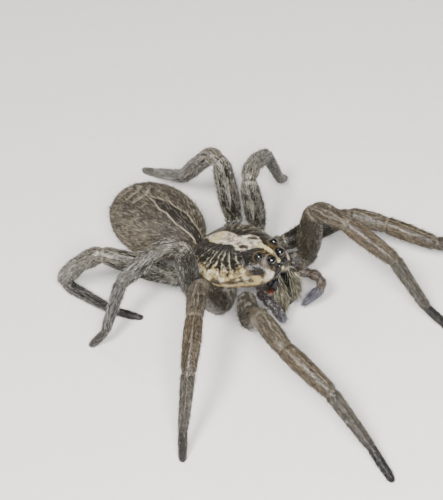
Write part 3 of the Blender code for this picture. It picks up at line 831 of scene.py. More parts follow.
class ShieldFinish(Finish):
    """Carapace: pale middle band, dark side bands with streaks, spotted pale border."""

    name = "shield"
    skin_roughness = 0.28
    skin_bump = 0.40
    coat_roughness = 0.36
    coat_pale_share = 0.08
    fuzz = 0.08
    dark: Colour = shade(36, 31, 26)
    dark_brown: Colour = shade(74, 58, 42)
    cream: Colour = shade(234, 226, 200)
    rose: Colour = shade(216, 202, 186)
    umber: Colour = shade(128, 104, 88)
    yellow: Colour = shade(222, 206, 148)
    border: Colour = shade(216, 194, 138)
    ochre: Colour = shade(152, 122, 76)
    spot: Colour = shade(62, 44, 32)
    olive: Colour = shade(122, 102, 66)
    grey: Colour = shade(176, 173, 172)
    ray: Colour = shade(212, 204, 170)
    face: Colour = shade(44, 42, 44)
    band_scale = 2.5
    band_widths = (
        (0.00, 0.075), (0.13, 0.095), (0.22, 0.105), (0.26, 0.14), (0.30, 0.26), (0.34, 0.42), (0.40, 0.55),
        (0.46, 0.54), (0.515, 0.36), (0.57, 0.30), (0.64, 0.38), (0.74, 0.42), (0.82, 0.36), (0.88, 0.18),
        (0.94, 0.05))
    rays = ((-50.0, 3.0), (-36.0, 4.0), (-22.0, 4.2), (-8.0, 4.6), (7.0, 4.0), (20.0, 4.0), (36.0, 4.5))

    def marks(self, graph: Graph) -> Any:
        """Colour of the markings."""
        place = graph.vector("place")
        x, y, z = graph.parts(place)
        down = abs(graph.parts(graph.vector("way"))[1])
        wobble = graph.noise(place, 1.4, 3.0) - 0.5
        fine = graph.noise(place, 5.0, 4.0) - 0.5
        along = (y + SHIELD_LENGTH / 2) / SHIELD_LENGTH
        at = ShieldPlace(place, x, y, z, abs(x + 0.14 * wobble), along, down, wobble, fine)
        middle, pale = self.middle_band(graph, at)
        below = graph.blend(self.grey, self.dark, graph.noise(place, 3.4, 4.0).step(0.42, 0.54))
        colour = graph.layered(self.side_band(graph, at), [
            (self.cheek(graph, at), 1 - (along + 0.12 * wobble).step(0.22, 0.30)),
            (pale, middle)])
        return graph.layered(self.round_eyes(graph, colour, at), [
            (self.ochre, down.step(0.98, 1.02)),
            (below, down.step(1.06, 1.14))])

    def middle_band(self, graph: Graph, at: ShieldPlace) -> tuple[Value, Any]:
        """Where the pale middle band is, and its colour.

        Args:
            graph: the material's nodes.
            at: where the point is.

        Returns:
            The band's share and its colour.
        """
        y, side, along = at.y, at.side, at.along
        half = graph.level(along, self.band_widths) * self.band_scale
        share = 1 - (side + 0.55 * at.fine - half).step(-0.06, 0.06)
        fanned = graph.join((y - RAY_CENTRE).angle_to(side) * 4.0, side * 0.5, y * 0.15)
        veins = graph.noise(fanned, 2.2, 3.0).step(0.56, 0.64) * along.step(0.5, 0.62)
        bar = (side + 0.3 * at.wobble - 0.78).near(0.0, 0.36) * (y + 1.10).near(0.0, 1.1)
        pit = (y - 0.75).near(0.0, 0.55) * side.near(0.0, 0.12)
        return share, graph.layered(self.cream, [
            (self.rose, graph.noise(at.place, 2.0, 3.0).step(0.44, 0.56)),
            (self.umber, graph.noise(at.place, 2.1, 5.0).step(0.50, 0.57) * 0.80),
            (self.umber, veins * 0.8),
            (self.yellow, (1 - along.step(0.24, 0.34)).most(along.near(0.78, 0.10)) * 0.9),
            (self.spot, (bar + 0.6 * at.fine).step(0.12, 0.34) * 0.95),
            (self.spot, pit.step(0.2, 0.6))])

    def side_band(self, graph: Graph, at: ShieldPlace) -> Any:
        """Colour of the dark band with its pale streaks, and of the spotted border outside it.

        Args:
            graph: the material's nodes.
            at: where the point is.

        Returns:
            The colour.
        """
        side, down, fine = at.side, at.down, at.fine
        angle = (at.y - RAY_CENTRE).angle_to(side) * (180 / math.pi)
        warped = angle + 12 * at.wobble + 8 * fine
        rays = 0.0
        for centre, width in self.rays:
            rays = rays + warped.near(centre, width)
        reach = side.step(1.5, 2.3) * (1 - down.step(0.64, 0.76))
        broken = graph.noise(at.place, 3.2, 3.0).step(0.40, 0.56)
        thread = (warped * 0.95).sine().step(0.72, 0.98) * side.step(1.1, 1.6) * (1 - down.step(0.5, 0.6))
        band = graph.layered(self.dark, [
            (self.dark_brown, graph.noise(at.place, 3.6, 4.0).step(0.50, 0.72)),
            (self.ray, rays.step(0.36, 0.90) * reach * broken * 0.80),
            (self.grey, thread * fine.step(0.0, 0.12) * 0.45)])
        wave = (warped * 0.26).sine()
        edge = 0.61 + 0.22 * at.wobble + 0.040 * wave
        outer = (down + 0.30 * fine).step(edge - 0.02, edge + 0.03)
        mottle = graph.noise(at.place, 1.5, 4.0)
        fans = graph.join(warped * 0.036, down * 1.5, 0.0)
        lobes, spots = graph.cells(fans, 1.5), graph.cells(fans, 1.2)
        rim = graph.layered(self.border, [
            (self.cream, mottle.step(0.53, 0.59)),
            (self.ochre, graph.noise(at.place, 1.9, 4.0).step(0.48, 0.58) * 0.9),
            (self.dark_brown, (1 - (lobes + 0.6 * fine).step(0.19, 0.36)) * 0.85),
            (self.dark_brown, (1 - (mottle + 0.3 * fine).step(0.41, 0.47)) * 0.9),
            (self.spot, (1 - (spots + 0.6 * fine).step(0.17, 0.29)) * down.near(0.76, 0.22).step(0.0, 0.3)),
            (self.dark_brown, wave.step(0.75, 1.0) * (1 - down.step(0.66, 0.86)) * 0.8),
            (self.spot, (down + 0.05 * fine).near(0.92, 0.04) * 0.95)])
        return graph.blend(band, rim, outer)

    def cheek(self, graph: Graph, at: ShieldPlace) -> Any:
        """Colour of the head beside its middle stripe.

        Args:
            graph: the material's nodes.
            at: where the point is.

        Returns:
            The colour.
        """
        place, along, down, wobble, fine = at.place, at.along, at.down, at.wobble, at.fine
        crown = graph.layered(self.dark_brown, [
            (self.olive, graph.noise(place, 2.6, 3.0).step(0.40, 0.56)),
            (self.dark, graph.noise(place, 3.4, 3.0).step(0.50, 0.62) * 0.8),
            (self.dark, along.step(0.17, 0.24))])
        low = graph.layered(self.dark_brown, [
            (self.olive, graph.noise(place, 2.2, 3.0).step(0.38, 0.52)),
            (self.border, (down + 0.5 * wobble + 0.4 * fine).step(0.80, 0.90)),
            (self.dark, (1 - (graph.cells(place, 0.9) + 0.5 * fine).step(0.34, 0.50)) * 0.9)])
        arc_middle = 0.585 + 1.4 * (along - 0.15).power(2)
        arc = (down + 0.14 * wobble + 0.35 * fine).near(arc_middle, 0.10).step(0.0, 0.5)
        patch = (along + 0.05 * wobble).near(0.165, 0.075) * (down + 0.2 * fine).near(0.70, 0.16)
        front = (1 - (at.y + 0.9 * wobble + 0.8 * fine).step(-5.10, -4.70)) * down.step(0.45, 0.65)
        face = (3.32 - 0.79 * at.z - abs(at.x) + 0.6 * wobble + 0.5 * fine).step(-0.12, 0.12)
        seam = (along + 0.10 * wobble - 0.02 * down).near(0.275, 0.022)
        return graph.layered(crown, [
            (low, (down + 0.3 * wobble).step(0.53, 0.62)),
            (self.grey, arc * (1 - along.step(0.25, 0.31)) * (0.55 + 1.6 * fine)),
            (self.dark, (patch + 0.8 * fine).step(0.10, 0.30) * 0.95),
            (self.rose, front * 0.85),
            (self.cream, front * graph.noise(place, 3.0, 2.0).step(0.46, 0.54) * 0.8),
            (self.face, face * (1 - at.y.step(-5.2, -4.9))),
            (self.ochre, seam * down.step(0.55, 0.65) * 0.7)])

    def round_eyes(self, graph: Graph, colour: Any, at: ShieldPlace) -> Any:
        """Dark rings round the eyes, with a tan ring outside the large ones."""
        for (cx, cy, cz), radius in EYES.values():
            across, along, up = abs(at.x) - cx, at.y - cy, at.z - cz
            away = (across * across + along * along + up * up).power(0.5)
            if radius > LARGE_EYE:
                ring = away.near(radius + 0.27, 0.12).step(0.0, 0.6) * (along - 0.3 * across).step(-0.1, 0.3)
                colour = graph.layered(colour, [
                    (self.dark, (1 - away.step(radius + 0.20, radius + 0.5)) * 0.5),
                    (self.olive, ring * 0.85)])
            colour = graph.blend(colour, self.dark, 1 - away.step(radius + 0.12, radius + 0.20))
        return colour


class AbdomenFinish(Finish):
    """Abdomen: grey-brown, a dark lance mark on top edged pale, and paler chevrons behind it."""

    name = "abdomen"
    skin_roughness = 0.6
    coat_tone = 1.05
    ground: Colour = shade(112, 102, 86)
    dark: Colour = shade(50, 43, 36)
    pale: Colour = shade(188, 176, 150)
    belly: Colour = shade(74, 64, 54)
    lance_widths = ((0.05, 0.5), (0.18, 0.9), (0.30, 0.55), (0.36, 0.7), (0.50, 0.05), (0.6, 0.0))

    def marks(self, graph: Graph) -> Any:
        """Colour of the markings."""
        place = graph.vector("place")
        x, y, _ = graph.parts(place)
        along, _, up = graph.parts(graph.vector("way"))
        side = abs(x + 0.3 * (graph.noise(place, 1.1, 3.0) - 0.5))
        mottle = graph.noise(place, 2.4, 4.0)
        field_edge = side - 2.3 - 0.5 * (y * 2.2).sine()
        lance = side - graph.level(along, self.lance_widths) * 0.95
        top = up.step(0.2, 0.5)
        front = 1 - along.step(0.50, 0.57)
        bars = ((y - 0.45 * side) * 4.6).sine().step(0.55, 0.9) * along.step(0.48, 0.58)
        return graph.layered(self.ground, [
            (self.dark, mottle.step(0.52, 0.66) * 0.8),
            (self.pale, (1 - mottle.step(0.34, 0.44)) * 0.7),
            (self.dark, (1 - field_edge.step(0.0, 0.5)) * up.step(0.1, 0.5) * 0.6),
            (self.pale, lance.near(0.12, 0.16).step(0.1, 0.6) * top * front * 0.9),
            (self.dark, (1 - lance.step(-0.05, 0.06)) * top * front),
            (self.pale, bars * (1 - (side - 2.0 + along).step(0.0, 0.5)) * top * 0.85),
            (self.belly, (0 - up).step(0.15, 0.6))])


@dataclass(frozen=True, kw_only=True)
class LegFinish(Finish):
    """One set of legs: a colour for each segment, broken lines along it, pale rings at the joints, and
    painted shade that darkens each leg towards its underside.

    segments holds colours at places counted in segments from the hip. line is the colour of the pale lines
    and streaks, whose strengths are lines and blooms, and streak and streaks are colour and strength of the
    dark ones. both_flanks says whether the thighs are plain on both flanks, or on one, ahead of the waist.
    """

    name: str
    segments: list[tuple[float, Colour]]
    line: Colour
    streak: Colour
    streaks: float
    coat_pale: Colour
    lines: float
    blooms: float
    coat_contrast: float
    both_flanks: bool

    skin_roughness = 0.28
    coat_roughness = 0.34
    fuzz = 0.20
    beneath = shade(58, 51, 39)
    line_gaps = ((0.0, 0.1), (0.345, 0.05), (0.42, 0.30), (0.495, 0.08), (0.52, 0.0), (1.0, 0.0))
    line_strengths = (
        (0.0, 0.0), (0.33, 0.0), (0.36, 0.9), (0.47, 0.8), (0.495, 0.1), (0.52, 0.6), (0.64, 0.75),
        (0.66, 0.1), (0.70, 0.6), (0.80, 0.4), (0.83, 0.0))
    rings = ((1.0, 0.05, 0.5), (2.03, 0.04, 0.2), (3.0, 0.04, 0.3), (4.0, 0.03, 0.15))

    @property
    def coat_pale_share(self) -> float:
        """How many of the tufts are pale."""
        return 0.25 * self.blooms + 0.04

    def marks(self, graph: Graph) -> Any:
        """Colour of the markings."""
        along, side, up = graph.parts(graph.vector("way"))
        place = graph.vector("place")
        run = along / LEG_END
        grain = graph.noise(place, 5.0, 4.0)
        streaky = graph.noise(graph.join(along * 1.5, side * 1.8, up * 1.8), 1.9, 5.0, 1.6)
        base = graph.ramp(run, [(stop / LEG_END, colour) for stop, colour in self.segments])
        base = graph.toned(base, 0.72 + 0.56 * graph.noise(place, 1.6, 3.0).step(0.30, 0.70))
        thigh = along.step(1.05, 1.2) * (1 - along.step(1.80, 1.95))
        hairy = 1 - along.step(4.9, 5.05)
        blotch = graph.noise(place, 1.5, 4.0).step(0.45, 0.53) * (1 - along.step(0.85, 1.05))
        streak = (streaky + 0.25 * (grain - 0.5)).step(0.51, 0.57)
        bloom = 1 - (streaky + 0.3 * (grain - 0.5)).step(0.30, 0.42)
        flank = abs(side) if self.both_flanks else (0 - side) * (1 - graph.parts(place)[1].step(4.2, 4.8))
        plain = (0 - up).step(-0.05, 0.35).most(flank.step(0.30, 0.65)) * thigh
        wide = abs(side + 0.5 * (graph.noise(graph.join(along * 1.3, 0.0, 0.0), 1.0, 2.0) - 0.5))
        gap, strong = graph.level(run, self.line_gaps), graph.level(run, self.line_strengths)
        faded = graph.noise(graph.join(along * 1.1, side, 0.0), 2.0, 3.0).step(0.34, 0.60)
        above = up.step(-0.1, 0.35)
        beside = wide.near(gap + 0.24, 0.22).step(0.0, 0.7) * above
        line = (wide + 0.08 * (grain - 0.5)).near(gap, 0.10).step(0.05, 0.6) * above * faded
        outer = wide.near(gap + 0.58, 0.14).step(0.1, 0.8) * faded
        base = graph.layered(base, [
            (self.streak, blotch * 0.85),
            (self.streak, streak * self.streaks * hairy),
            (self.beneath, plain * 0.92),
            (self.line, bloom * self.blooms * hairy * along.step(0.9, 1.6)),
            (self.streak, beside * strong * 1.1 * self.lines),
            (self.line, line * strong * self.lines),
            (self.line, outer * strong * 0.25 * self.lines)])
        rough = 0.12 * (grain - 0.5)
        broken = grain.step(0.36, 0.56)
        for joint, width, tone in self.rings:
            pale = (along + rough).near(joint, width).step(0.1, 0.8) * up.step(-0.4, 0.5) * broken
            base = graph.layered(base, [
                (self.line, pale * tone),
                (self.streak, (along + 0.4 * rough).near(joint + width * 1.1, 0.03) * 0.6)])
        base = graph.blend(base, self.streak, along.near(4.93, 0.06) * 0.7)
        # painted shade: the whole colour is darkened towards the underside and lightened on top
        return graph.toned(base, 0.52 + 0.6 * up.step(-0.9, 0.4))


class PalpFinish(Finish):
    """Palps: a glossy brown arm and a grey, hairy foot, with painted shade on their undersides and over the
    right palp.
    """

    name = "palp"
    skin_roughness = 0.15
    fuzz = 0.1
    coat_pale: Colour = shade(196, 194, 206)
    arm: Colour = shade(106, 88, 70)
    dark: Colour = shade(46, 38, 34)
    foot: Colour = shade(104, 100, 114)

    def marks(self, graph: Graph) -> Any:
        """Colour of the markings."""
        along, _, up = graph.parts(graph.vector("way"))
        place = graph.vector("place")
        base = graph.layered(self.arm, [
            (self.dark, graph.noise(place, 1.6, 4.0).step(0.40, 0.64) * 0.8),
            (self.dark, along.near(1.0, 0.14).most(along.near(2.0, 0.10)) * 0.8),
            (self.foot, (along + 0.3 * graph.noise(place, 2.0) - 0.15).step(2.80, 3.05)),
            # painted shadow: the right palp, past x = -1, is darkened as though it lay in shade, less on its
            # foot
            (self.dark, graph.parts(place)[0].step(-1.0, -2.0) * (0.85 - 0.3 * along.step(2.9, 3.1)))])
        # painted shade: darker towards the underside, lighter on top
        return graph.toned(base, 0.65 + 0.45 * up.step(-0.6, 0.6))


class JawFinish(Finish):
    """Jaw bases: dark shining horn under olive-yellow hairs, darkened on the inner side as painted shade
    between the two jaws.
    """

    name = "jaw"
    skin_roughness = 0.12
    skin_bump = 0.15
    fuzz = 0.05
    coat_tone = 1.15
    coat_contrast = 1.4
    coat_tip = 0.6
    coat_pale: Colour = shade(206, 198, 166)
    coat_pale_share = 0.22
    horn: Colour = shade(28, 29, 35)
    olive: Colour = shade(96, 88, 66)
    boss: Colour = shade(112, 44, 24)

    def marks(self, graph: Graph) -> Any:
        """Colour of the markings."""
        height, across, front = graph.parts(graph.vector("way"))
        place = graph.vector("place")
        patch = (height + 0.5 * across + 0.6 * graph.noise(place, 1.6, 3.0) - 0.3).step(0.40, 0.80)
        return graph.layered(self.olive, [
            # dark horn on the bald top patch and on the rear; on the inner side, where the jaws meet, it is
            # painted shade in the gap between them
            (self.horn, patch.most(across.step(-0.45, -0.8)).most((0 - front).step(0.0, 0.5))),
            (self.horn, graph.noise(place, 3.2).step(0.5, 0.62) * 0.7),
            (self.coat_pale, height.step(0.9, 1.5) * across.step(0.1, -0.5) * 0.7),
            (self.boss, height.near(0.15, 0.55).step(0.2, 0.5) * across.step(0.84, 0.94))])


class UnderFinish(Finish):
    """Breast plate, mouth parts and waist: dark grey-brown."""

    name = "under"
    ground: Colour = shade(70, 60, 50)
    pale: Colour = shade(126, 112, 90)

    def marks(self, graph: Graph) -> Any:
        """Colour of the markings."""
        place = graph.vector("place")
        return graph.blend(self.ground, self.pale, graph.noise(place, 2.0, 3.0).step(0.5, 0.75) * 0.5)


FRONT_LEG = LegFinish(
    name="front_leg", segments=colour_stops(
        (0.0, 164, 160, 150), (0.90, 136, 130, 116), (1.08, 40, 35, 28), (1.7, 52, 43, 33),
        (2.03, 104, 93, 79), (2.9, 108, 96, 79), (3.1, 112, 95, 73), (3.9, 101, 88, 70), (4.1, 94, 88, 79),
        (4.9, 82, 76, 70), (5.05, 30, 25, 23), (6.0, 20, 17, 16)),
    line=shade(202, 192, 168), streak=shade(48, 39, 31), streaks=0.55, coat_pale=shade(190, 183, 167),
    lines=0.45, blooms=0.18, coat_contrast=0.9, both_flanks=True)
REAR_LEG = LegFinish(
    name="rear_leg", segments=colour_stops(
        (0.0, 164, 160, 150), (0.90, 138, 134, 124), (1.10, 122, 117, 104), (1.7, 128, 122, 108),
        (2.05, 124, 115, 100), (2.9, 126, 118, 105), (3.1, 124, 118, 109), (3.9, 118, 112, 104),
        (4.1, 120, 117, 114), (4.9, 102, 98, 94), (5.05, 56, 49, 45), (6.0, 42, 37, 34)),
    line=shade(216, 212, 202), streak=shade(30, 26, 23), streaks=1.0, coat_pale=shade(210, 207, 200),
    lines=0.30, blooms=0.55, coat_contrast=0.8, both_flanks=False)
FINISHES: dict[Region, Finish] = dict(zip(Region, (
    ShieldFinish(), AbdomenFinish(), FRONT_LEG, REAR_LEG, PalpFinish(), JawFinish(), UnderFinish())))


@dataclass(frozen=True)
class EyeFinish:
    """A dark glossy eye."""

    pupil: Colour = shade(14, 12, 14)
    ring: Colour = shade(52, 40, 30)

    def material(self) -> bpy.types.Material:
        """The eye's material."""
        graph = Graph("eye_gloss")
        tint = graph.noise(graph.object_place(), 1800.0, 2.0)
        colour = graph.blend(self.pupil, self.ring, tint.step(0.5, 0.8) * 0.4)
        return graph.surface(Base_Color=colour, Roughness=0.05, Specular_IOR_Level=0.9)


@dataclass(frozen=True)
class HornFinish:
    """Polished dark horn of fangs, claws and spines."""

    name: str
    root: Colour
    tip: Colour
    roughness: float

    def material(self) -> bpy.types.Material:
        """The horn's material, its colour changing from root to tip."""
        graph = Graph(self.name)
        grain = graph.noise(graph.object_place(), 2500.0, 3.0)
        out = graph.number("out") + 0.3 * (grain - 0.5)
        colour = graph.blend(self.root, self.tip, out.step(0.1, 0.9))
        return graph.surface(Base_Color=colour, Roughness=self.roughness + 0.15 * (grain - 0.5))


# ---------------------------------------------------------------- meshes


def linked(name: str, data: bpy.types.ID) -> Item:
    """Object of a mesh, camera or light, linked to the scene."""
    item = bpy.data.objects.new(name, data)
    bpy.context.scene.collection.objects.link(item)
    return item


def add_mesh(name: str, points: np.ndarray, faces: Any) -> Item:
    """Object of points and faces, linked to the scene."""
    mesh = bpy.data.meshes.new(name)
    mesh.from_pydata([tuple(p) for p in points], [], faces)
    mesh.validate()
    return linked(name, mesh)


def triangles(mesh: Mesh) -> int:
    """Triangles that the faces of a mesh come to."""
    return sum(len(face.vertices) - 2 for face in mesh.polygons)


def read(items: Any, key: str, width: int = 1, kind: type = np.float32) -> np.ndarray:
    """One property of every vertex, corner or face.

    Args:
        items: the mesh's collection.
        key: the property's name.
        width: how many numbers it has.
        kind: the numbers' type.

    Returns:
        The numbers, a row for each item where it has more than one.
    """
    flat = np.empty(len(items) * width, kind)
    items.foreach_get(key, flat)
    return flat.reshape(-1, width) if width > 1 else flat


def read_points(mesh: Mesh) -> np.ndarray:
    """Vertex places of a mesh."""
    return read(mesh.vertices, "co", 3).astype(float)


def write_points(mesh: Mesh, points: np.ndarray) -> None:
    """Move the vertices of a mesh."""
    mesh.vertices.foreach_set("co", points.astype(np.float32).ravel())
    mesh.update()


def read_normals(mesh: Mesh) -> np.ndarray:
    """Vertex normals of a mesh."""
    return read(mesh.vertex_normals, "vector", 3).astype(float)


def carry(mesh: Mesh, name: str, values: np.ndarray) -> None:
    """Give the vertices of a mesh a named number or vector."""
    kind = "FLOAT_VECTOR" if values.ndim == 2 else "FLOAT"
    layer = mesh.attributes.get(name) or mesh.attributes.new(name, kind, "POINT")
    layer.data.foreach_set("vector" if values.ndim == 2 else "value", values.astype(np.float32).ravel())


def carried(mesh: Mesh, name: str) -> np.ndarray:
    """A named number or vector of the vertices of a mesh."""
    layer = mesh.attributes[name]
    if layer.data_type == "FLOAT_VECTOR":
        return read(layer.data, "vector", 3)
    return read(layer.data, "value")


def drop(mesh: Mesh, *names: str) -> None:
    """Take named numbers and vectors off a mesh that no longer needs them."""
    for name in names:
        if name in mesh.attributes:
            mesh.attributes.remove(mesh.attributes[name])


def baked(item: Item) -> Mesh:
    """The mesh of an object with its modifiers, which are then removed."""
    evaluated = item.evaluated_get(bpy.context.evaluated_depsgraph_get())
    mesh = bpy.data.meshes.new_from_object(evaluated)
    item.modifiers.clear()
    old = item.data
    item.data = mesh
    if old.users == 0:
        bpy.data.meshes.remove(old)
    return mesh


def settle(item: Item) -> None:
    """Turn a mesh in body millimetres into the model's metres, nothing below the floor."""
    points = read_points(item.data) + BODY_PLACE
    points[:, 2] = np.maximum(points[:, 2], 0.0)
    write_points(item.data, points * MM)


# ---------------------------------------------------------------- skin


def belongs(region: np.ndarray, *kinds: Region) -> np.ndarray:
    """Which points are in one of some regions."""
    return np.isin(region, [kind.value for kind in kinds])


def eye_distances(points: np.ndarray) -> list[tuple[np.ndarray, float]]:
    """For each pair of eyes, how far every point is from the nearer one, and the pair's radius."""
    x, y, z = points.T
    return [(np.sqrt((np.abs(x) - cx) ** 2 + (y - cy) ** 2 + (z - cz) ** 2), radius)
            for (cx, cy, cz), radius in EYES.values()]


class Guide:
    """Finds, for any point of the skin, the nearest point of the lofts it was made from."""

    def __init__(self, lofts: list[Loft]) -> None:
        """Gather the points of the lofts."""
        self.lofts = lofts
        self.points = np.vstack([loft.flat(loft.points) for loft in lofts])
        self.way = np.vstack([loft.flat(loft.way) for loft in lofts])
        self.lie = np.vstack([loft.flat(np.array(loft.lie)) for loft in lofts])
        self.chart = np.vstack([loft.chart_places() for loft in lofts])
        self.owner = np.concatenate([np.full(len(loft.flat(loft.points)), i) for i, loft in enumerate(lofts)])
        self.region = np.array([loft.region.value for loft in lofts])
        self.tree = KDTree(len(self.points))
        for index, point in enumerate(self.points):
            self.tree.insert(point, index)
        self.tree.balance()

    def nearest(self, points: np.ndarray) -> np.ndarray:
        """Index of the nearest loft point for each point."""
        find = self.tree.find
        return np.array([find(point)[1] for point in points], int)


class Skin:
    """One closed skin fused from the lofts, with folds, and what its finish and coat need at each point."""

    fuse_size = 0.115
    smooth_share = 0.5
    smooth_rounds = 3
    most_triangles = 185000
    comb_stretch = 0.22
    furrows = (-34, -8, 18, 42)
    furrow_depth, furrow_width = 0.10, 6
    groove = ((0.5, 0.1), (2.7, -2.9))
    groove_depth, groove_width = 0.13, 0.26
    pit_depth, pit_width = 0.24, 0.13
    edge_swell, eye_rim = 0.05, 0.09
    dimples = ((1.3, 9.6), (1.6, 11.8), (1.5, 14.0), (1.2, 16.0))
    dimple_depth, dimple_width = 0.12, 0.32
    hair_plain, hair_abdomen, hair_under = 0.45, 0.55, 0.35
    hair_shield, hair_edge, hair_head = 0.30, 0.50, 0.75
    hair_leg, hair_jaw, hair_palp = 0.44, 0.80, 0.34

    def __init__(self, lofts: list[Loft]) -> None:
        """Fuse and shape the skin."""
        self.guide = Guide(lofts)
        self.item = self.fused(lofts)
        self.shape()
        self.thin()
        self.dress()

    def fused(self, lofts: list[Loft]) -> Item:
        """One surface round all the lofts."""
        points, faces, count = [], [], 0
        for loft in lofts:
            flat = loft.flat(loft.points)
            faces += [tuple(corner + count for corner in face) for face in loft.faces()]
            points.append(flat)
            count += len(flat)
        item = add_mesh("skin", np.vstack(points), faces)
        modifier = item.modifiers.new("fuse", "REMESH")
        modifier.mode = "VOXEL"
        modifier.voxel_size = self.fuse_size
        smooth = item.modifiers.new("smooth", "SMOOTH")
        smooth.factor = self.smooth_share
        smooth.iterations = self.smooth_rounds
        baked(item)
        LOG.info("skin fused: %d faces", len(item.data.polygons))
        return item

    def shape(self) -> None:
        """Press in furrows and raise folds and rims."""
        mesh = self.item.data
        points, normals = read_points(mesh), read_normals(mesh)
        found = self.guide.nearest(points)
        region = self.guide.region[self.guide.owner[found]]
        way = self.guide.way[found]
        lift = np.zeros(len(points))
        shield, abdomen = belongs(region, Region.SHIELD), belongs(region, Region.ABDOMEN)
        lift[shield] += self.shield_relief(points[shield], way[shield])
        lift[abdomen] += self.abdomen_relief(points[abdomen])
        lift += 0.012 * ripple(points, 2.5) + 0.008 * ripple(points, 5.0)
        write_points(mesh, points + normals * lift[:, None])

    def shield_relief(self, points: np.ndarray, way: np.ndarray) -> np.ndarray:
        """Furrows from the pit of the thorax, the groove behind the head, and rims round the eyes."""
        y = points[:, 1]
        side, down = np.abs(points[:, 0]), np.abs(way[:, 1])
        top = down < 1.05
        angle = np.degrees(np.arctan2(y - RAY_CENTRE, side))
        span = ease(side, 0.6, 1.5) * (1 - ease(down, 0.62, 0.9))
        lift = np.zeros(len(points))
        for centre in self.furrows:
            lift -= self.furrow_depth * bell(angle, centre, self.furrow_width) * span
        start, end = np.array(self.groove)
        run = end - start
        part = np.clip(((side - start[0]) * run[0] + (y - start[1]) * run[1]) / (run @ run), 0, 1)
        away = np.hypot(side - start[0] - part * run[0], y - start[1] - part * run[1])
        lift -= self.groove_depth * bell(away, 0, self.groove_width) * (1 - ease(part, 0.85, 1.0))
        pit = bell(side, 0, self.pit_width)
        lift -= self.pit_depth * pit * ease(y, 0.15, 0.45) * (1 - ease(y, 1.0, 1.35))
        lift += self.edge_swell * bell(down, 0.96, 0.05)
        for away, radius in eye_distances(points):
            lift += self.eye_rim * bell(away, radius + 0.05, 0.09)
        return lift * top

    def abdomen_relief(self, points: np.ndarray) -> np.ndarray:
        """Four pairs of shallow pits on top."""
        x, y, z = points.T
        lift = np.zeros(len(points))
        for across, along in self.dimples:
            away = np.hypot(np.abs(x) - across, y - along)
            lift -= self.dimple_depth * bell(away, 0, self.dimple_width) * (z > 0)
        return lift

    def thin(self) -> None:
        """Drop faces where the skin is plain."""
        count = triangles(self.item.data)
        if count > self.most_triangles:
            modifier = self.item.modifiers.new("thin", "DECIMATE")
            modifier.ratio = self.most_triangles / count
            baked(self.item)
        LOG.info("skin thinned: %d faces", len(self.item.data.polygons))

    def dress(self) -> None:
        """Carry places, ways, lies and hair sizes, and give each face its region's finish."""
        mesh = self.item.data
        points, normals = read_points(mesh), read_normals(mesh)
        found = self.guide.nearest(points)
        owner = self.guide.owner[found]
        region = self.guide.region[owner]
        way = self.guide.way[found]
        lie = self.guide.lie[found]
        lie = unit(lie - normals * (lie * normals).sum(1, keepdims=True))
        comb = points - lie * (points * lie).sum(1, keepdims=True) * (1 - self.comb_stretch)
        limb = belongs(region, Region.FRONT_LEG, Region.REAR_LEG, Region.PALP)
        comb = np.where(limb[:, None], way * (1.4, 0.8, 0.8), comb)
        length, share, stand = self.hair(points, region, way)
        for name, values in (("place", points), ("way", way), ("lie", lie), ("comb", comb), ("hair", length),
                             ("share", share), ("fringe", stand)):
            carry(mesh, name, values)
        for kind in Region:
            mesh.materials.append(FINISHES[kind].skin())
        starts = read(mesh.polygons, "loop_start", kind=np.int32)
        corner = read(mesh.loops, "vertex_index", kind=np.int32)[starts]
        self.face_owner = owner[corner]
        mesh.polygons.foreach_set("material_index", region[corner].astype(np.int32))
        mesh.shade_smooth()

    def hair(self, points: np.ndarray, region: np.ndarray, way: np.ndarray) -> Arrays:
        """How long the coat is, in millimetres, how densely it grows and how far it stands off.

        Args:
            points: places on the skin.
            region: the region of each.
            way: place along, across and up of each in its part.

        Returns:
            Length, density and stand at each place.
        """
        length = np.full(len(points), self.hair_plain)
        share = np.ones(len(points))
        stand = np.ones(len(points))
        shield = belongs(region, Region.SHIELD)
        down = np.abs(way[:, 1])
        length[shield] = (self.hair_shield + 0.10 * ease(down, 0.5, 0.9))[shield]
        share[shield] = (0.55 + 0.45 * ease(down, 0.5, 0.7))[shield] * (down < 1.45)[shield]
        length[shield & (down > 1.03)] = self.hair_edge
        for away, radius in eye_distances(points):
            share *= np.where(shield, ease(away, radius + 0.10, radius + 0.22), 1)
        length[shield & (points[:, 1] < -3.4)] *= self.hair_head
        length[belongs(region, Region.ABDOMEN)] = self.hair_abdomen
        leg = belongs(region, Region.FRONT_LEG, Region.REAR_LEG)
        place = way[:, 0]
        thigh = ease(place, 1.05, 1.2) * (1 - ease(place, 1.75, 1.95))
        beneath = thigh * ease(-way[:, 2], 0.2, 0.6)
        femur = thigh * ease(np.abs(way[:, 1]), 0.60, 0.9)
        hip = 1 - ease(place, 0.9, 1.1)
        on_leg = self.hair_leg - 0.14 * ease(place, 4.0, 5.2) + 0.14 * femur + 0.08 * hip
        length[leg] = (on_leg - 0.24 * bell(place, 2.0, 0.20) - 0.14 * beneath)[leg]
        stand[leg] = (0.8 + 1.5 * femur - 0.45 * beneath + 0.4 * hip - 0.65 * bell(place, 2.0, 0.3))[leg]
        jaw = belongs(region, Region.JAW)
        length[jaw] = (self.hair_jaw + 0.15 * way[:, 2])[jaw]
        bald = ease(way[:, 0] + 0.5 * way[:, 1], 0.55, 0.85)
        # fewer tufts on the inner side of the jaws, so the painted shade between them shows
        share[jaw] = ((1 - 0.94 * bald) * (1 - 0.9 * ease(-way[:, 1], 0.35, 0.7)))[jaw]
        palp = belongs(region, Region.PALP)
        length[palp] = (self.hair_palp + 0.12 * ease(way[:, 0], 2.6, 3.2))[palp]
        share[palp] = (0.45 + 0.55 * ease(way[:, 0], 2.6, 3.0))[palp]
        length[belongs(region, Region.UNDER)] = self.hair_under
        share[points[:, 2] < FLOOR + 0.03] = 0
        return length, share, stand

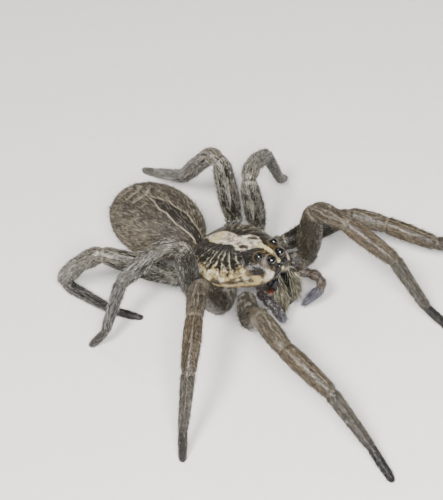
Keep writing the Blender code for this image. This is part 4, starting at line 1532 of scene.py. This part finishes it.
    def patch(self, names: list[str]) -> Item:
        """Copy of the faces that came from some of the lofts."""
        wanted = [i for i, loft in enumerate(self.guide.lofts) if loft.name in names]
        copy = self.item.data.copy()
        keep = np.isin(self.face_owner, wanted)
        shape = bmesh.new()
        shape.from_mesh(copy)
        shape.faces.ensure_lookup_table()
        bmesh.ops.delete(shape, geom=[shape.faces[i] for i in np.nonzero(~keep)[0]], context="FACES")
        shape.to_mesh(copy)
        shape.free()
        copy.materials.clear()
        return linked("patch", copy)


# ---------------------------------------------------------------- coat


class Tree(Nodes):
    """A Geometry Nodes tree built in code, with named inputs."""

    def __init__(self, name: str, inputs: dict[str, tuple[str, Any]]) -> None:
        """Start a tree.

        Args:
            name: the tree's name.
            inputs: socket type and value of each named input after the geometry.
        """
        self.tree = bpy.data.node_groups.new(name, "GeometryNodeTree")
        face = self.tree.interface
        face.new_socket("Geometry", in_out="INPUT", socket_type="NodeSocketGeometry")
        face.new_socket("Geometry", in_out="OUTPUT", socket_type="NodeSocketGeometry")
        self.values = inputs
        for key, (kind, _) in inputs.items():
            face.new_socket(key, in_out="INPUT", socket_type=kind)
        self.source = self.tree.nodes.new("NodeGroupInput")
        self.sink = self.tree.nodes.new("NodeGroupOutput")

    def given(self, name: str) -> Socket:
        """A named input of the tree."""
        return self.source.outputs[name]

    def carried(self, name: str, kind: str = "FLOAT") -> bpy.types.Node:
        """A number or vector that the mesh carries."""
        return self.node("GeometryNodeInputNamedAttribute", {"data_type": kind}, {"Name": name})

    def math(self, operation: str, first: Any, second: Any) -> bpy.types.Node:
        """Sum, product or another step of numbers."""
        return self.node("ShaderNodeMath", {"operation": operation}, {0: first, 1: second})

    def vector(self, operation: str, first: Any, second: Any) -> bpy.types.Node:
        """Sum, product or another step of vectors."""
        key = "Scale" if operation == "SCALE" else 1
        return self.node("ShaderNodeVectorMath", {"operation": operation}, {0: first, key: second})

    def chance(self, low: Any, high: Any, seed: int, kind: str = "FLOAT") -> Socket:
        """Random number or vector for each point."""
        least, most, result = {"FLOAT": (2, 3, 1), "FLOAT_VECTOR": (0, 1, 0)}[kind]
        return self.node("FunctionNodeRandomValue", {"data_type": kind}, {
            least: low, most: high, "Seed": seed}).outputs[result]

    def store(self, geometry: Any, name: str, value: Any, kind: str = "FLOAT") -> bpy.types.Node:
        """Give the points of a geometry a named number or vector."""
        return self.node("GeometryNodeStoreNamedAttribute", {"data_type": kind, "domain": "POINT"},
                         {"Geometry": geometry, "Name": name, "Value": value})

    def pointing(self, way: Any, back: Any) -> bpy.types.Node:
        """Turn that stands a spike along a way, with its back to a side."""
        first = self.node("FunctionNodeAlignRotationToVector", {"axis": "Z"}, {"Vector": way})
        return self.node("FunctionNodeAlignRotationToVector", {"axis": "X", "pivot_axis": "Z"},
                         {"Rotation": first, "Vector": back})

    def spike(self, sides: int, rings: int, bend: Any) -> bpy.types.Node:
        """A bent cone of height and radius 1.

        Args:
            sides: points round its foot.
            rings: steps from its foot to its tip.
            bend: how far its tip moves towards its back.

        Returns:
            The geometry, which carries how far out each point is.
        """
        cone = self.node("GeometryNodeMeshCone", {"fill_type": "NGON"}, {
            "Vertices": sides, "Side Segments": rings, "Fill Segments": 1, "Radius Top": 0.0,
            "Radius Bottom": 1.0, "Depth": 1.0})
        place = self.node("GeometryNodeInputPosition")
        height = self.node("ShaderNodeSeparateXYZ", None, {0: place}).outputs["Z"]
        marked = self.store(cone.outputs["Mesh"], "out", height)
        aside = self.math("MULTIPLY", self.math("POWER", height, 2.0), bend)
        return self.node("GeometryNodeSetPosition", None, {
            "Geometry": marked, "Offset": self.node("ShaderNodeCombineXYZ", None, {0: aside})})

    def close(self, geometry: Any, material: bpy.types.Material) -> None:
        """End the tree: real geometry with a material."""
        real = self.node("GeometryNodeRealizeInstances", None, {0: geometry})
        smooth = self.node("GeometryNodeSetShadeSmooth", None, {0: real})
        final = self.node("GeometryNodeSetMaterial", None, {0: smooth, "Material": material})
        self.tree.links.new(final.outputs[0], self.sink.inputs[0])

    def run(self, item: Item) -> Mesh:
        """Run the tree on an object and leave the result as its plain mesh."""
        modifier = item.modifiers.new("grow", "NODES")
        modifier.node_group = self.tree
        for socket in self.tree.interface.items_tree:
            if socket.in_out == "INPUT" and socket.name in self.values:
                modifier[socket.identifier] = self.values[socket.name][1]
        return baked(item)


@dataclass
class Coat:
    """Tufts of hair over part of the skin, each a bent spike of three sides and two rings."""

    name: str
    parts: list[str]
    slot: str
    finish: Region
    count: int
    seed: int
    width: float = 0.024
    rise: float = 0.22
    long_share: float = 0.15
    long_scale: float = 1.45
    long_rise: float = 0.55
    spread: float = 0.24
    bend: float = -2.2
    sides: int = 3
    rings: int = 2
    patch: float = 0.0015

    def tree(self, density: float) -> Tree:
        """The tree that scatters tufts, leans them along the lie and bends them down."""
        sizes = {"Density": density, "Width": self.width, "Rise": self.rise, "Long Share": self.long_share,
                 "Long Scale": self.long_scale, "Long Rise": self.long_rise}
        tree = Tree(f"{self.name}_grow", {
            **{key: ("NodeSocketFloat", size) for key, size in sizes.items()},
            "Seed": ("NodeSocketInt", self.seed)})
        density_here = tree.math("MULTIPLY", tree.given("Density"), tree.carried("share"))
        scatter = tree.node("GeometryNodeDistributePointsOnFaces", {"distribute_method": "RANDOM"}, {
            "Mesh": tree.given("Geometry"), "Density": density_here, "Seed": tree.given("Seed")})
        tone = tree.chance(0.0, 1.0, self.seed + 1)
        long_one = tree.math("LESS_THAN", tree.chance(0.0, 1.0, self.seed + 2), tree.given("Long Share"))
        toned = tree.store(scatter.outputs["Points"], "tone", tone)
        rooted = tree.store(toned, "root", tree.node("GeometryNodeInputPosition"), "FLOAT_VECTOR")
        stood = tree.store(rooted, "stand", scatter.outputs["Normal"], "FLOAT_VECTOR")
        rise = tree.math("MULTIPLY", tree.chance(0.5, 1.5, self.seed + 3), tree.given("Rise"))
        rise = tree.math("ADD", rise, tree.math("MULTIPLY", long_one, tree.given("Long Rise")))
        rise = tree.math("MULTIPLY", rise, tree.carried("fringe"))
        normal = tree.carried("stand", "FLOAT_VECTOR")
        jitter = tree.chance((-self.spread,) * 3, (self.spread,) * 3, self.seed + 4, "FLOAT_VECTOR")
        leaning = tree.vector("ADD", tree.carried("lie", "FLOAT_VECTOR"), jitter)
        leaning = tree.vector("ADD", leaning, tree.vector("SCALE", normal, rise))
        length = tree.math("MULTIPLY", tree.carried("hair"), tree.chance(0.65, 1.25, self.seed + 5))
        longer = tree.math("MULTIPLY", long_one, tree.math("SUBTRACT", tree.given("Long Scale"), 1.0))
        length = tree.math("MULTIPLY", length, tree.math("ADD", 1.0, longer))
        size = tree.node("ShaderNodeCombineXYZ", None, {
            0: tree.given("Width"), 1: tree.given("Width"), 2: length})
        placed = tree.node("GeometryNodeInstanceOnPoints", None, {
            "Points": stood, "Instance": tree.spike(self.sides, self.rings, self.bend),
            "Rotation": tree.pointing(leaning, normal), "Scale": size})
        tree.close(placed, FINISHES[self.finish].coat())
        return tree

    def build(self, skin: Skin) -> Item:
        """Grow the coat, map each tuft to its root's place on the skin's unwrap, and give it to the model."""
        item = skin.patch(self.parts)
        item.name = self.name
        mesh = item.data
        mesh.calc_loop_triangles()
        areas = read(mesh.loop_triangles, "area")
        corners = read(mesh.loop_triangles, "vertices", 3, np.int32)
        weighted = float((areas * carried(mesh, "share")[corners].mean(1)).sum())
        mesh = self.tree(self.count / weighted).run(item)
        mesh.name = self.name
        self.chart(mesh, skin.guide)
        drop(mesh, "stand", "root", "hair", "share", "fringe", "comb", "lie")
        settle(item)
        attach(item, "root")
        LOG.info("%s: %d triangles", self.name, triangles(mesh))
        return item

    def chart(self, mesh: Mesh, guide: Guide) -> None:
        """Lay each tuft as a small patch at its root's place on the unwrap."""
        pattern = np.array([(-1, -1), (0, -0.8), (1, -1), (-1, 0.1), (0, 0.3), (1, 0.1), (0, 1)])
        roots = carried(mesh, "root")[::len(pattern)].astype(float)
        places = guide.chart[guide.nearest(roots)]
        spots = (places[:, None] + pattern * self.patch).reshape(-1, 2)
        vertex = read(mesh.loops, "vertex_index", kind=np.int32)
        layer = mesh.uv_layers.new(name="OFBake")
        layer.data.foreach_set("uv", np.clip(spots[vertex], 0, 1).astype(np.float32).ravel())


# ---------------------------------------------------------------- eyes, fangs, claws, spines


def horn_tube(points: list[Vector], radii: list[float], sides: int) -> tuple[np.ndarray, Faces, np.ndarray]:
    """Closed tapering tube.

    Args:
        points: its centre line, in millimetres.
        radii: radius at each point.
        sides: points in a ring.

    Returns:
        Vertices, faces, and how far out each vertex is from root to tip.
    """
    line = np.array(points)
    tangent = unit(np.gradient(line, axis=0))
    side, up = ring_frames(tangent)
    angle = ring_angles(sides)[None, :, None]
    radius = np.array(radii)[:, None, None]
    rings = line[:, None] + radius * (side[:, None] * np.cos(angle) + up[:, None] * np.sin(angle))
    count = len(points)
    faces = tube_quads(count, sides)
    faces.append(tuple(reversed(range(sides))))
    faces.append(tuple(range((count - 1) * sides, count * sides)))
    return rings.reshape(-1, 3), faces, np.repeat(np.linspace(0, 1, count), sides)


def outward(item: Item) -> None:
    """Point the faces of a closed mesh outwards."""
    shape = bmesh.new()
    shape.from_mesh(item.data)
    bmesh.ops.recalc_face_normals(shape, faces=shape.faces)
    shape.to_mesh(item.data)
    shape.free()


@dataclass
class Eyes:
    """Eight glossy eyes, each a smooth globe in its rim."""

    finish: EyeFinish = field(default_factory=EyeFinish)
    around: int = 40
    bands: int = 20

    def build(self) -> list[Item]:
        """Make every eye and let it stand for its node."""
        material = self.finish.material()
        made = []
        for name, ((x, y, z), radius) in EYES.items():
            for letter, sign in (("L", 1), ("R", -1)):
                mesh = bpy.data.meshes.new(f"{name}_globe_{letter}")
                shape = bmesh.new()
                bmesh.ops.create_uvsphere(shape, u_segments=self.around, v_segments=self.bands, radius=radius)
                bmesh.ops.translate(shape, verts=shape.verts, vec=(sign * x, y, z))
                shape.to_mesh(mesh)
                shape.free()
                mesh.shade_smooth()
                mesh.materials.append(material)
                item = linked(mesh.name, mesh)
                settle(item)
                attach(item, "root")
                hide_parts(f"{name}_{letter}")
                made.append(item)
        return made


@dataclass
class Fangs:
    """A pair of curved fangs that fold in under the jaw bases."""

    radius: float = 0.29
    thinning: float = 0.65
    blunt: float = 0.4
    offset: float = 1.45
    front: float = -5.45
    top: float = -3.9
    first_turn: float = -5.0
    sweep: float = 80.0
    reach: float = 1.15
    depth: float = 0.75
    steps: int = 18
    sides: int = 18
    finish: HornFinish = field(default_factory=lambda: HornFinish(
        "fang_horn", shade(58, 26, 16), shade(16, 10, 10), 0.22))

    def build(self) -> list[Item]:
        """Make both fangs and let each stand for its node."""
        material = self.finish.material()
        made = []
        for letter, sign in (("L", 1), ("R", -1)):
            line, radii = [], []
            for step in range(self.steps):
                part = step / (self.steps - 1)
                angle = math.radians(self.first_turn + self.sweep * part)
                across = sign * (self.offset - self.reach * (1 - math.cos(angle)) - 0.15 * part)
                height = self.top - self.depth * math.sin(angle)
                line.append(Vector((across, self.front + 0.35 * part, height)))
                radii.append(self.radius * (1 - self.thinning * part))
            radii[-1] *= self.blunt
            points, faces, out = horn_tube(line, radii, self.sides)
            item = add_mesh(f"fang_horn_{letter}", points, faces)
            outward(item)
            carry(item.data, "out", out)
            item.data.materials.append(material)
            item.data.shade_smooth()
            settle(item)
            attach(item, "root")
            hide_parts(f"fang_{letter}")
            made.append(item)
        return made


@dataclass
class Spikes:
    """Many small horns of one kind, such as claws or leg spines, set at points by one tree."""

    name: str
    finish: HornFinish
    slot: str
    bend: float
    sides: int = 6
    rings: int = 5
    spots: list[tuple[Vector, Vector, Vector, Place]] = field(default_factory=list)

    def add(self, spot: Vector, way: Vector, back: Vector, length: float, radius: float) -> None:
        """Set one horn.

        Args:
            spot: its root.
            way: where it points.
            back: the side it bends away from.
            length: its length in millimetres.
            radius: its radius at the root.
        """
        self.spots.append((spot, way, back, (radius, radius, length)))

    def build(self) -> Item:
        """Make the horns as one piece."""
        roots, ways, backs, sizes = (np.array([tuple(row) for row in rows]) for rows in zip(*self.spots))
        item = add_mesh(self.name, roots, [])
        for name, rows in (("way_out", ways), ("back", backs), ("size", sizes)):
            carry(item.data, name, rows)
        tree = Tree(f"{self.name}_set", {"Bend": ("NodeSocketFloat", self.bend)})
        way, back, size = (tree.carried(name, "FLOAT_VECTOR") for name in ("way_out", "back", "size"))
        spike = tree.spike(self.sides, self.rings, tree.given("Bend"))
        placed = tree.node("GeometryNodeInstanceOnPoints", None, {
            "Points": tree.given("Geometry"), "Instance": spike, "Rotation": tree.pointing(way, back),
            "Scale": size})
        tree.close(placed, self.finish.material())
        tree.run(item)
        settle(item)
        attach(item, "root")
        LOG.info("%s: %d", self.name, len(self.spots))
        return item


# ---------------------------------------------------------------- the spider and its studio


@dataclass(frozen=True)
class FootHorn:
    """Sizes of the claws on every foot and of the leg spines, in millimetres."""

    claw_length: float = 0.36
    claw_radius: float = 0.05
    claw_setback: float = 0.12
    claw_gap: float = 0.10
    claw_height: float = 0.24
    claw_rise: float = 0.15
    claw_spread: float = 0.25
    claw_bend: float = -1.6
    spine_radius: float = 0.045
    spine_sunk: float = 0.16
    spine_lean: float = 0.42
    spine_clear: float = 0.5
    spine_bend: float = -0.5


class Spider:
    """The whole animal: skin, coat, eyes, fangs, claws and spines."""

    flesh = ("carapace", "labium", "sternum", "pedicel", "abdomen")
    horn = FootHorn()

    def __init__(self) -> None:
        """Set out its parts."""
        self.legs = [Leg(name, pose, row) for row, (name, pose) in enumerate(LEG_POSES.items())]
        self.palps = [Palp(side, joints) for side, joints in PALP_JOINTS.items()]

    def lofts(self) -> list[Loft]:
        """Every loft of the skin."""
        under, abdomen = Region.UNDER, Region.ABDOMEN
        found = [Shield(), Jaw(1), Jaw(-1), *self.palps, *self.legs]
        found += [
            Ovoid("abdomen", abdomen, (0, 12.95, -0.2), (4.6, 6.5, 4.1), 0.10, (0.34, 0.58, 0.34, 0.40),
                  rings=90, sides=110, rear_swell=0.08, flat_top=0.95),
            Ovoid("sternum", under, (0, 1.1, -1.25), (2.35, 3.3, 0.85), 0.08, (0.70, 0.90, 0.08, 0.04)),
            Ovoid("labium", under, (0, -2.95, -1.75), (0.32, 0.55, 0.40), 0.03, (0.80, 0.90, 0.03, 0.03)),
            Ovoid("pedicel", under, (0, 5.7, -0.6), (0.62, 2.2, 0.60), 0.05, (0.84, 0.90, 0.03, 0.03))]
        for number, sign in enumerate((1, -1)):
            low = 0.90 + 0.04 * number
            found.append(Ovoid(f"maxilla_{number}", under, (1.08 * sign, -3.2, -1.4), (0.62, 0.80, 0.72),
                               0.04, (0.88, low, 0.03, 0.03), lie_to=(0, -0.5, -1)))
            for row, (height, reach) in enumerate(((-2.4, 19.2), (-1.4, 19.95))):
                found.append(Ovoid(f"spinneret_{number}_{row}", abdomen, (0.5 * sign, reach, height),
                                   (0.30, 0.62, 0.30), 0.03, (0.92 + 0.02 * row, low, 0.02, 0.03),
                                   rings=16, sides=16))
        return [part.loft() for part in found]

    def replaced(self) -> list[str]:
        """Nodes of flesh that the skin stands for."""
        names = list(self.flesh)
        for side in "LR":
            names += [f"chelicera_{side}", f"palp_{side}", f"palp_foot_{side}", f"maxilla_{side}",
                      f"spinneret_front_{side}", f"spinneret_back_{side}"]
        for leg in LEG_POSES:
            names += [f"{part}_{leg}" for part in ("coxa", "femur", "tibia", "foot")]
        return names

    def coats(self) -> list[Coat]:
        """Every part of the coat."""
        rear = ["abdomen", *(f"spinneret_{number}_{row}" for number in (0, 1) for row in (0, 1))]
        under = ["sternum", "labium", "maxilla_0", "maxilla_1", "pedicel"]
        found = [
            Coat("coat_shield", ["carapace"], "shield", Region.SHIELD, count=12000, seed=11, width=0.016,
                 rise=0.16, long_share=0.03, long_rise=0.4),
            Coat("coat_abdomen", rear, "abdomen", Region.ABDOMEN, count=17000, seed=23, width=0.026,
                 long_share=0.08),
            Coat("coat_jaws", ["chelicera_L", "chelicera_R"], "jaw", Region.JAW, count=4200, seed=31,
                 rise=0.20, long_rise=0.35, spread=0.18),
            Coat("coat_palps", ["palp_L", "palp_R"], "palp", Region.PALP, count=5200, seed=43, width=0.019,
                 rise=0.24, long_share=0.12, long_rise=0.45),
            Coat("coat_under", under, "under", Region.UNDER, count=3500, seed=57, width=0.018)]
        for row, leg in enumerate(self.legs):
            slot, region = ("front_leg", Region.FRONT_LEG) if leg.pair < 3 else ("rear_leg", Region.REAR_LEG)
            found.append(Coat(f"coat_leg_{leg.name}", [f"leg_{leg.name}"], slot, region, count=10500,
                              seed=100 + 10 * row))
        return found

    def claws_and_spines(self) -> None:
        """Two claws on every foot, and strong spines under and beside the outer leg segments."""
        horn = self.horn
        claw_horn = HornFinish("claw_horn", shade(70, 44, 30), shade(22, 14, 12), 0.25)
        spine_horn = HornFinish("spine_horn", shade(66, 50, 38), shade(26, 20, 18), 0.3)
        claws = Spikes("claws", claw_horn, "fang", horn.claw_bend)
        spines = Spikes("leg_spines", spine_horn, "fang", horn.spine_bend, sides=5, rings=3)
        for leg in self.legs:
            tube = leg.tube()
            side, up = ring_frames(tube.tangent)
            tip = Vector(tube.centre[-1])
            way = Vector(tube.tangent[-1])
            flat = Vector((way.x, way.y, 0)).normalized()
            cross = UP.cross(flat)
            for sign in (1, -1):
                root = tip - way * horn.claw_setback + cross * sign * horn.claw_gap
                root.z = FLOOR + horn.claw_height
                pointing = flat + UP * horn.claw_rise + cross * sign * horn.claw_spread
                claws.add(root, pointing, UP, horn.claw_length, horn.claw_radius)
            depth, width = leg.halves(tube.place).T
            for place, turn, length in leg_spines(leg.pair):
                at = int(np.argmin(np.abs(tube.place - place)))
                angle = math.radians(turn)
                out = Vector(side[at]) * math.cos(angle) + Vector(up[at]) * math.sin(angle)
                radius = float(depth[at] + width[at]) / 2 - horn.spine_sunk
                root = Vector(tube.centre[at]) + out * radius
                if root.z >= FLOOR + horn.spine_clear:
                    pointing = Vector(tube.tangent[at]) + out * horn.spine_lean
                    spines.add(root, pointing, out, length, horn.spine_radius)
        claws.build()
        spines.build()

    def build(self) -> None:
        """Build every piece and give it to the model."""
        skin = Skin(self.lofts())
        for coat in self.coats():
            coat.build(skin)
        drop(skin.item.data, "hair", "share", "fringe", "lie")
        settle(skin.item)
        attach(skin.item, "root")
        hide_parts(*self.replaced())
        LOG.info("skin: %d triangles", triangles(skin.item.data))
        Eyes().build()
        Fangs().build()
        self.claws_and_spines()


def leg_spines(pair: int) -> list[tuple[float, float, float]]:
    """Place along, turn round and length of each spine of a leg."""
    rows = ((3.22, 15, 1.1), (3.55, 15, 1.05), (3.88, 15, 0.8), (4.12, 18, 1.15), (4.45, 18, 1.0),
            (4.85, 18, 0.7))
    under = [(place, -90 + apart, length) for place, half, length in rows for apart in (half, -half)]
    beside = [(1.35, 90, 0.9), (1.6, 90, 0.9), (1.82, 80, 0.8), (1.7, 25, 0.8), (1.7, 155, 0.8),
              (3.3, 10, 0.9), (3.65, 10, 0.9), (4.2, 10, 0.9), (4.55, 5, 0.8)]
    if pair > 2:
        beside += [(3.3, 170, 0.9), (3.65, 170, 0.9), (4.2, 170, 0.9), (4.55, 175, 0.8), (3.25, 90, 0.9),
                   (3.7, 90, 0.9)]
    return under + beside


@dataclass(frozen=True)
class Lamp:
    """One soft square lamp that faces the spider."""

    name: str
    place: Place
    size: float
    power: float
    tint: Colour

    def build(self) -> None:
        """Hang the lamp."""
        data = bpy.data.lights.new(self.name, "AREA")
        data.size, data.energy, data.color = self.size, self.power, self.tint
        item = linked(self.name, data)
        item.location = self.place
        item.rotation_euler = (-Vector(self.place)).to_track_quat("-Z", "Y").to_euler()


@dataclass(frozen=True)
class Studio:
    """Plain pale floor, soft lights and the camera."""

    turn: float = -44.519
    height: float = 46.383
    roll: float = -10.0
    away: float = 0.140
    lens: float = 90.16
    shift: tuple[float, float] = (-0.046, 0.0264)
    near: float = 0.005
    far: float = 10.0
    floor_half: float = 3.0
    floor_height: float = -2e-5
    air_strength: float = 0.14
    lamps: tuple[Lamp, ...] = (
        Lamp("key", (-0.16, -0.06, 0.26), 0.07, 1.35, (1.0, 0.985, 0.96)),
        Lamp("fill", (0.22, -0.20, 0.16), 0.20, 0.18, (0.92, 0.96, 1.0)),
        Lamp("rear", (0.05, 0.26, 0.22), 0.20, 0.36, (1.0, 0.98, 0.95)),
        Lamp("spark", (-0.085, -0.11, 0.15), 0.06, 0.62, (1.0, 1.0, 1.0)),
        Lamp("catch", (-0.125, -0.125, 0.022), 0.022, 0.09, (0.90, 0.94, 1.0)))

    def camera(self) -> None:
        """Set the camera."""
        turn, rise = math.radians(self.turn), math.radians(self.height)
        back = Vector((math.sin(turn) * math.cos(rise), -math.cos(turn) * math.cos(rise), math.sin(rise)))
        right = UP.cross(back).normalized()
        up = back.cross(right)
        roll = math.radians(self.roll)
        tilted = right * math.cos(roll) + up * math.sin(roll)
        upright = up * math.cos(roll) - right * math.sin(roll)
        data = bpy.data.cameras.new("camera")
        data.lens = self.lens
        data.shift_x, data.shift_y = self.shift
        data.clip_start, data.clip_end = self.near, self.far
        item = linked("camera", data)
        place = Vector(BODY_PLACE * MM) + back * self.away
        turned = Matrix((tilted, upright, back)).transposed().to_4x4()
        item.matrix_world = Matrix.Translation(place) @ turned
        bpy.context.scene.camera = item

    def build(self) -> None:
        """Set floor, lights, air and camera."""
        half = self.floor_half
        corners = [(-half, -half), (half, -half), (half, half), (-half, half)]
        floor = add_mesh("floor", np.array([(x, y, self.floor_height) for x, y in corners]), [(0, 1, 2, 3)])
        graph = Graph("floor_paper")
        grain = graph.noise(graph.object_place(), 900.0, 3.0)
        colour = graph.blend(lit(232, 229, 223), lit(240, 237, 232), grain)
        floor.data.materials.append(graph.surface(Base_Color=colour, Roughness=0.9))
        world = bpy.data.worlds.new("studio")
        world.use_nodes = True
        air = world.node_tree.nodes["Background"]
        air.inputs["Color"].default_value = (*lit(214, 220, 228), 1.0)
        air.inputs["Strength"].default_value = self.air_strength
        bpy.context.scene.world = world
        for lamp in self.lamps:
            lamp.build()
        self.camera()


def main() -> None:
    """Build the spider and its studio."""
    logging.basicConfig(level=logging.INFO, format="%(name)s %(message)s")
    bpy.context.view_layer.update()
    Spider().build()
    Studio().build()


if __name__ == "__main__":
    main()
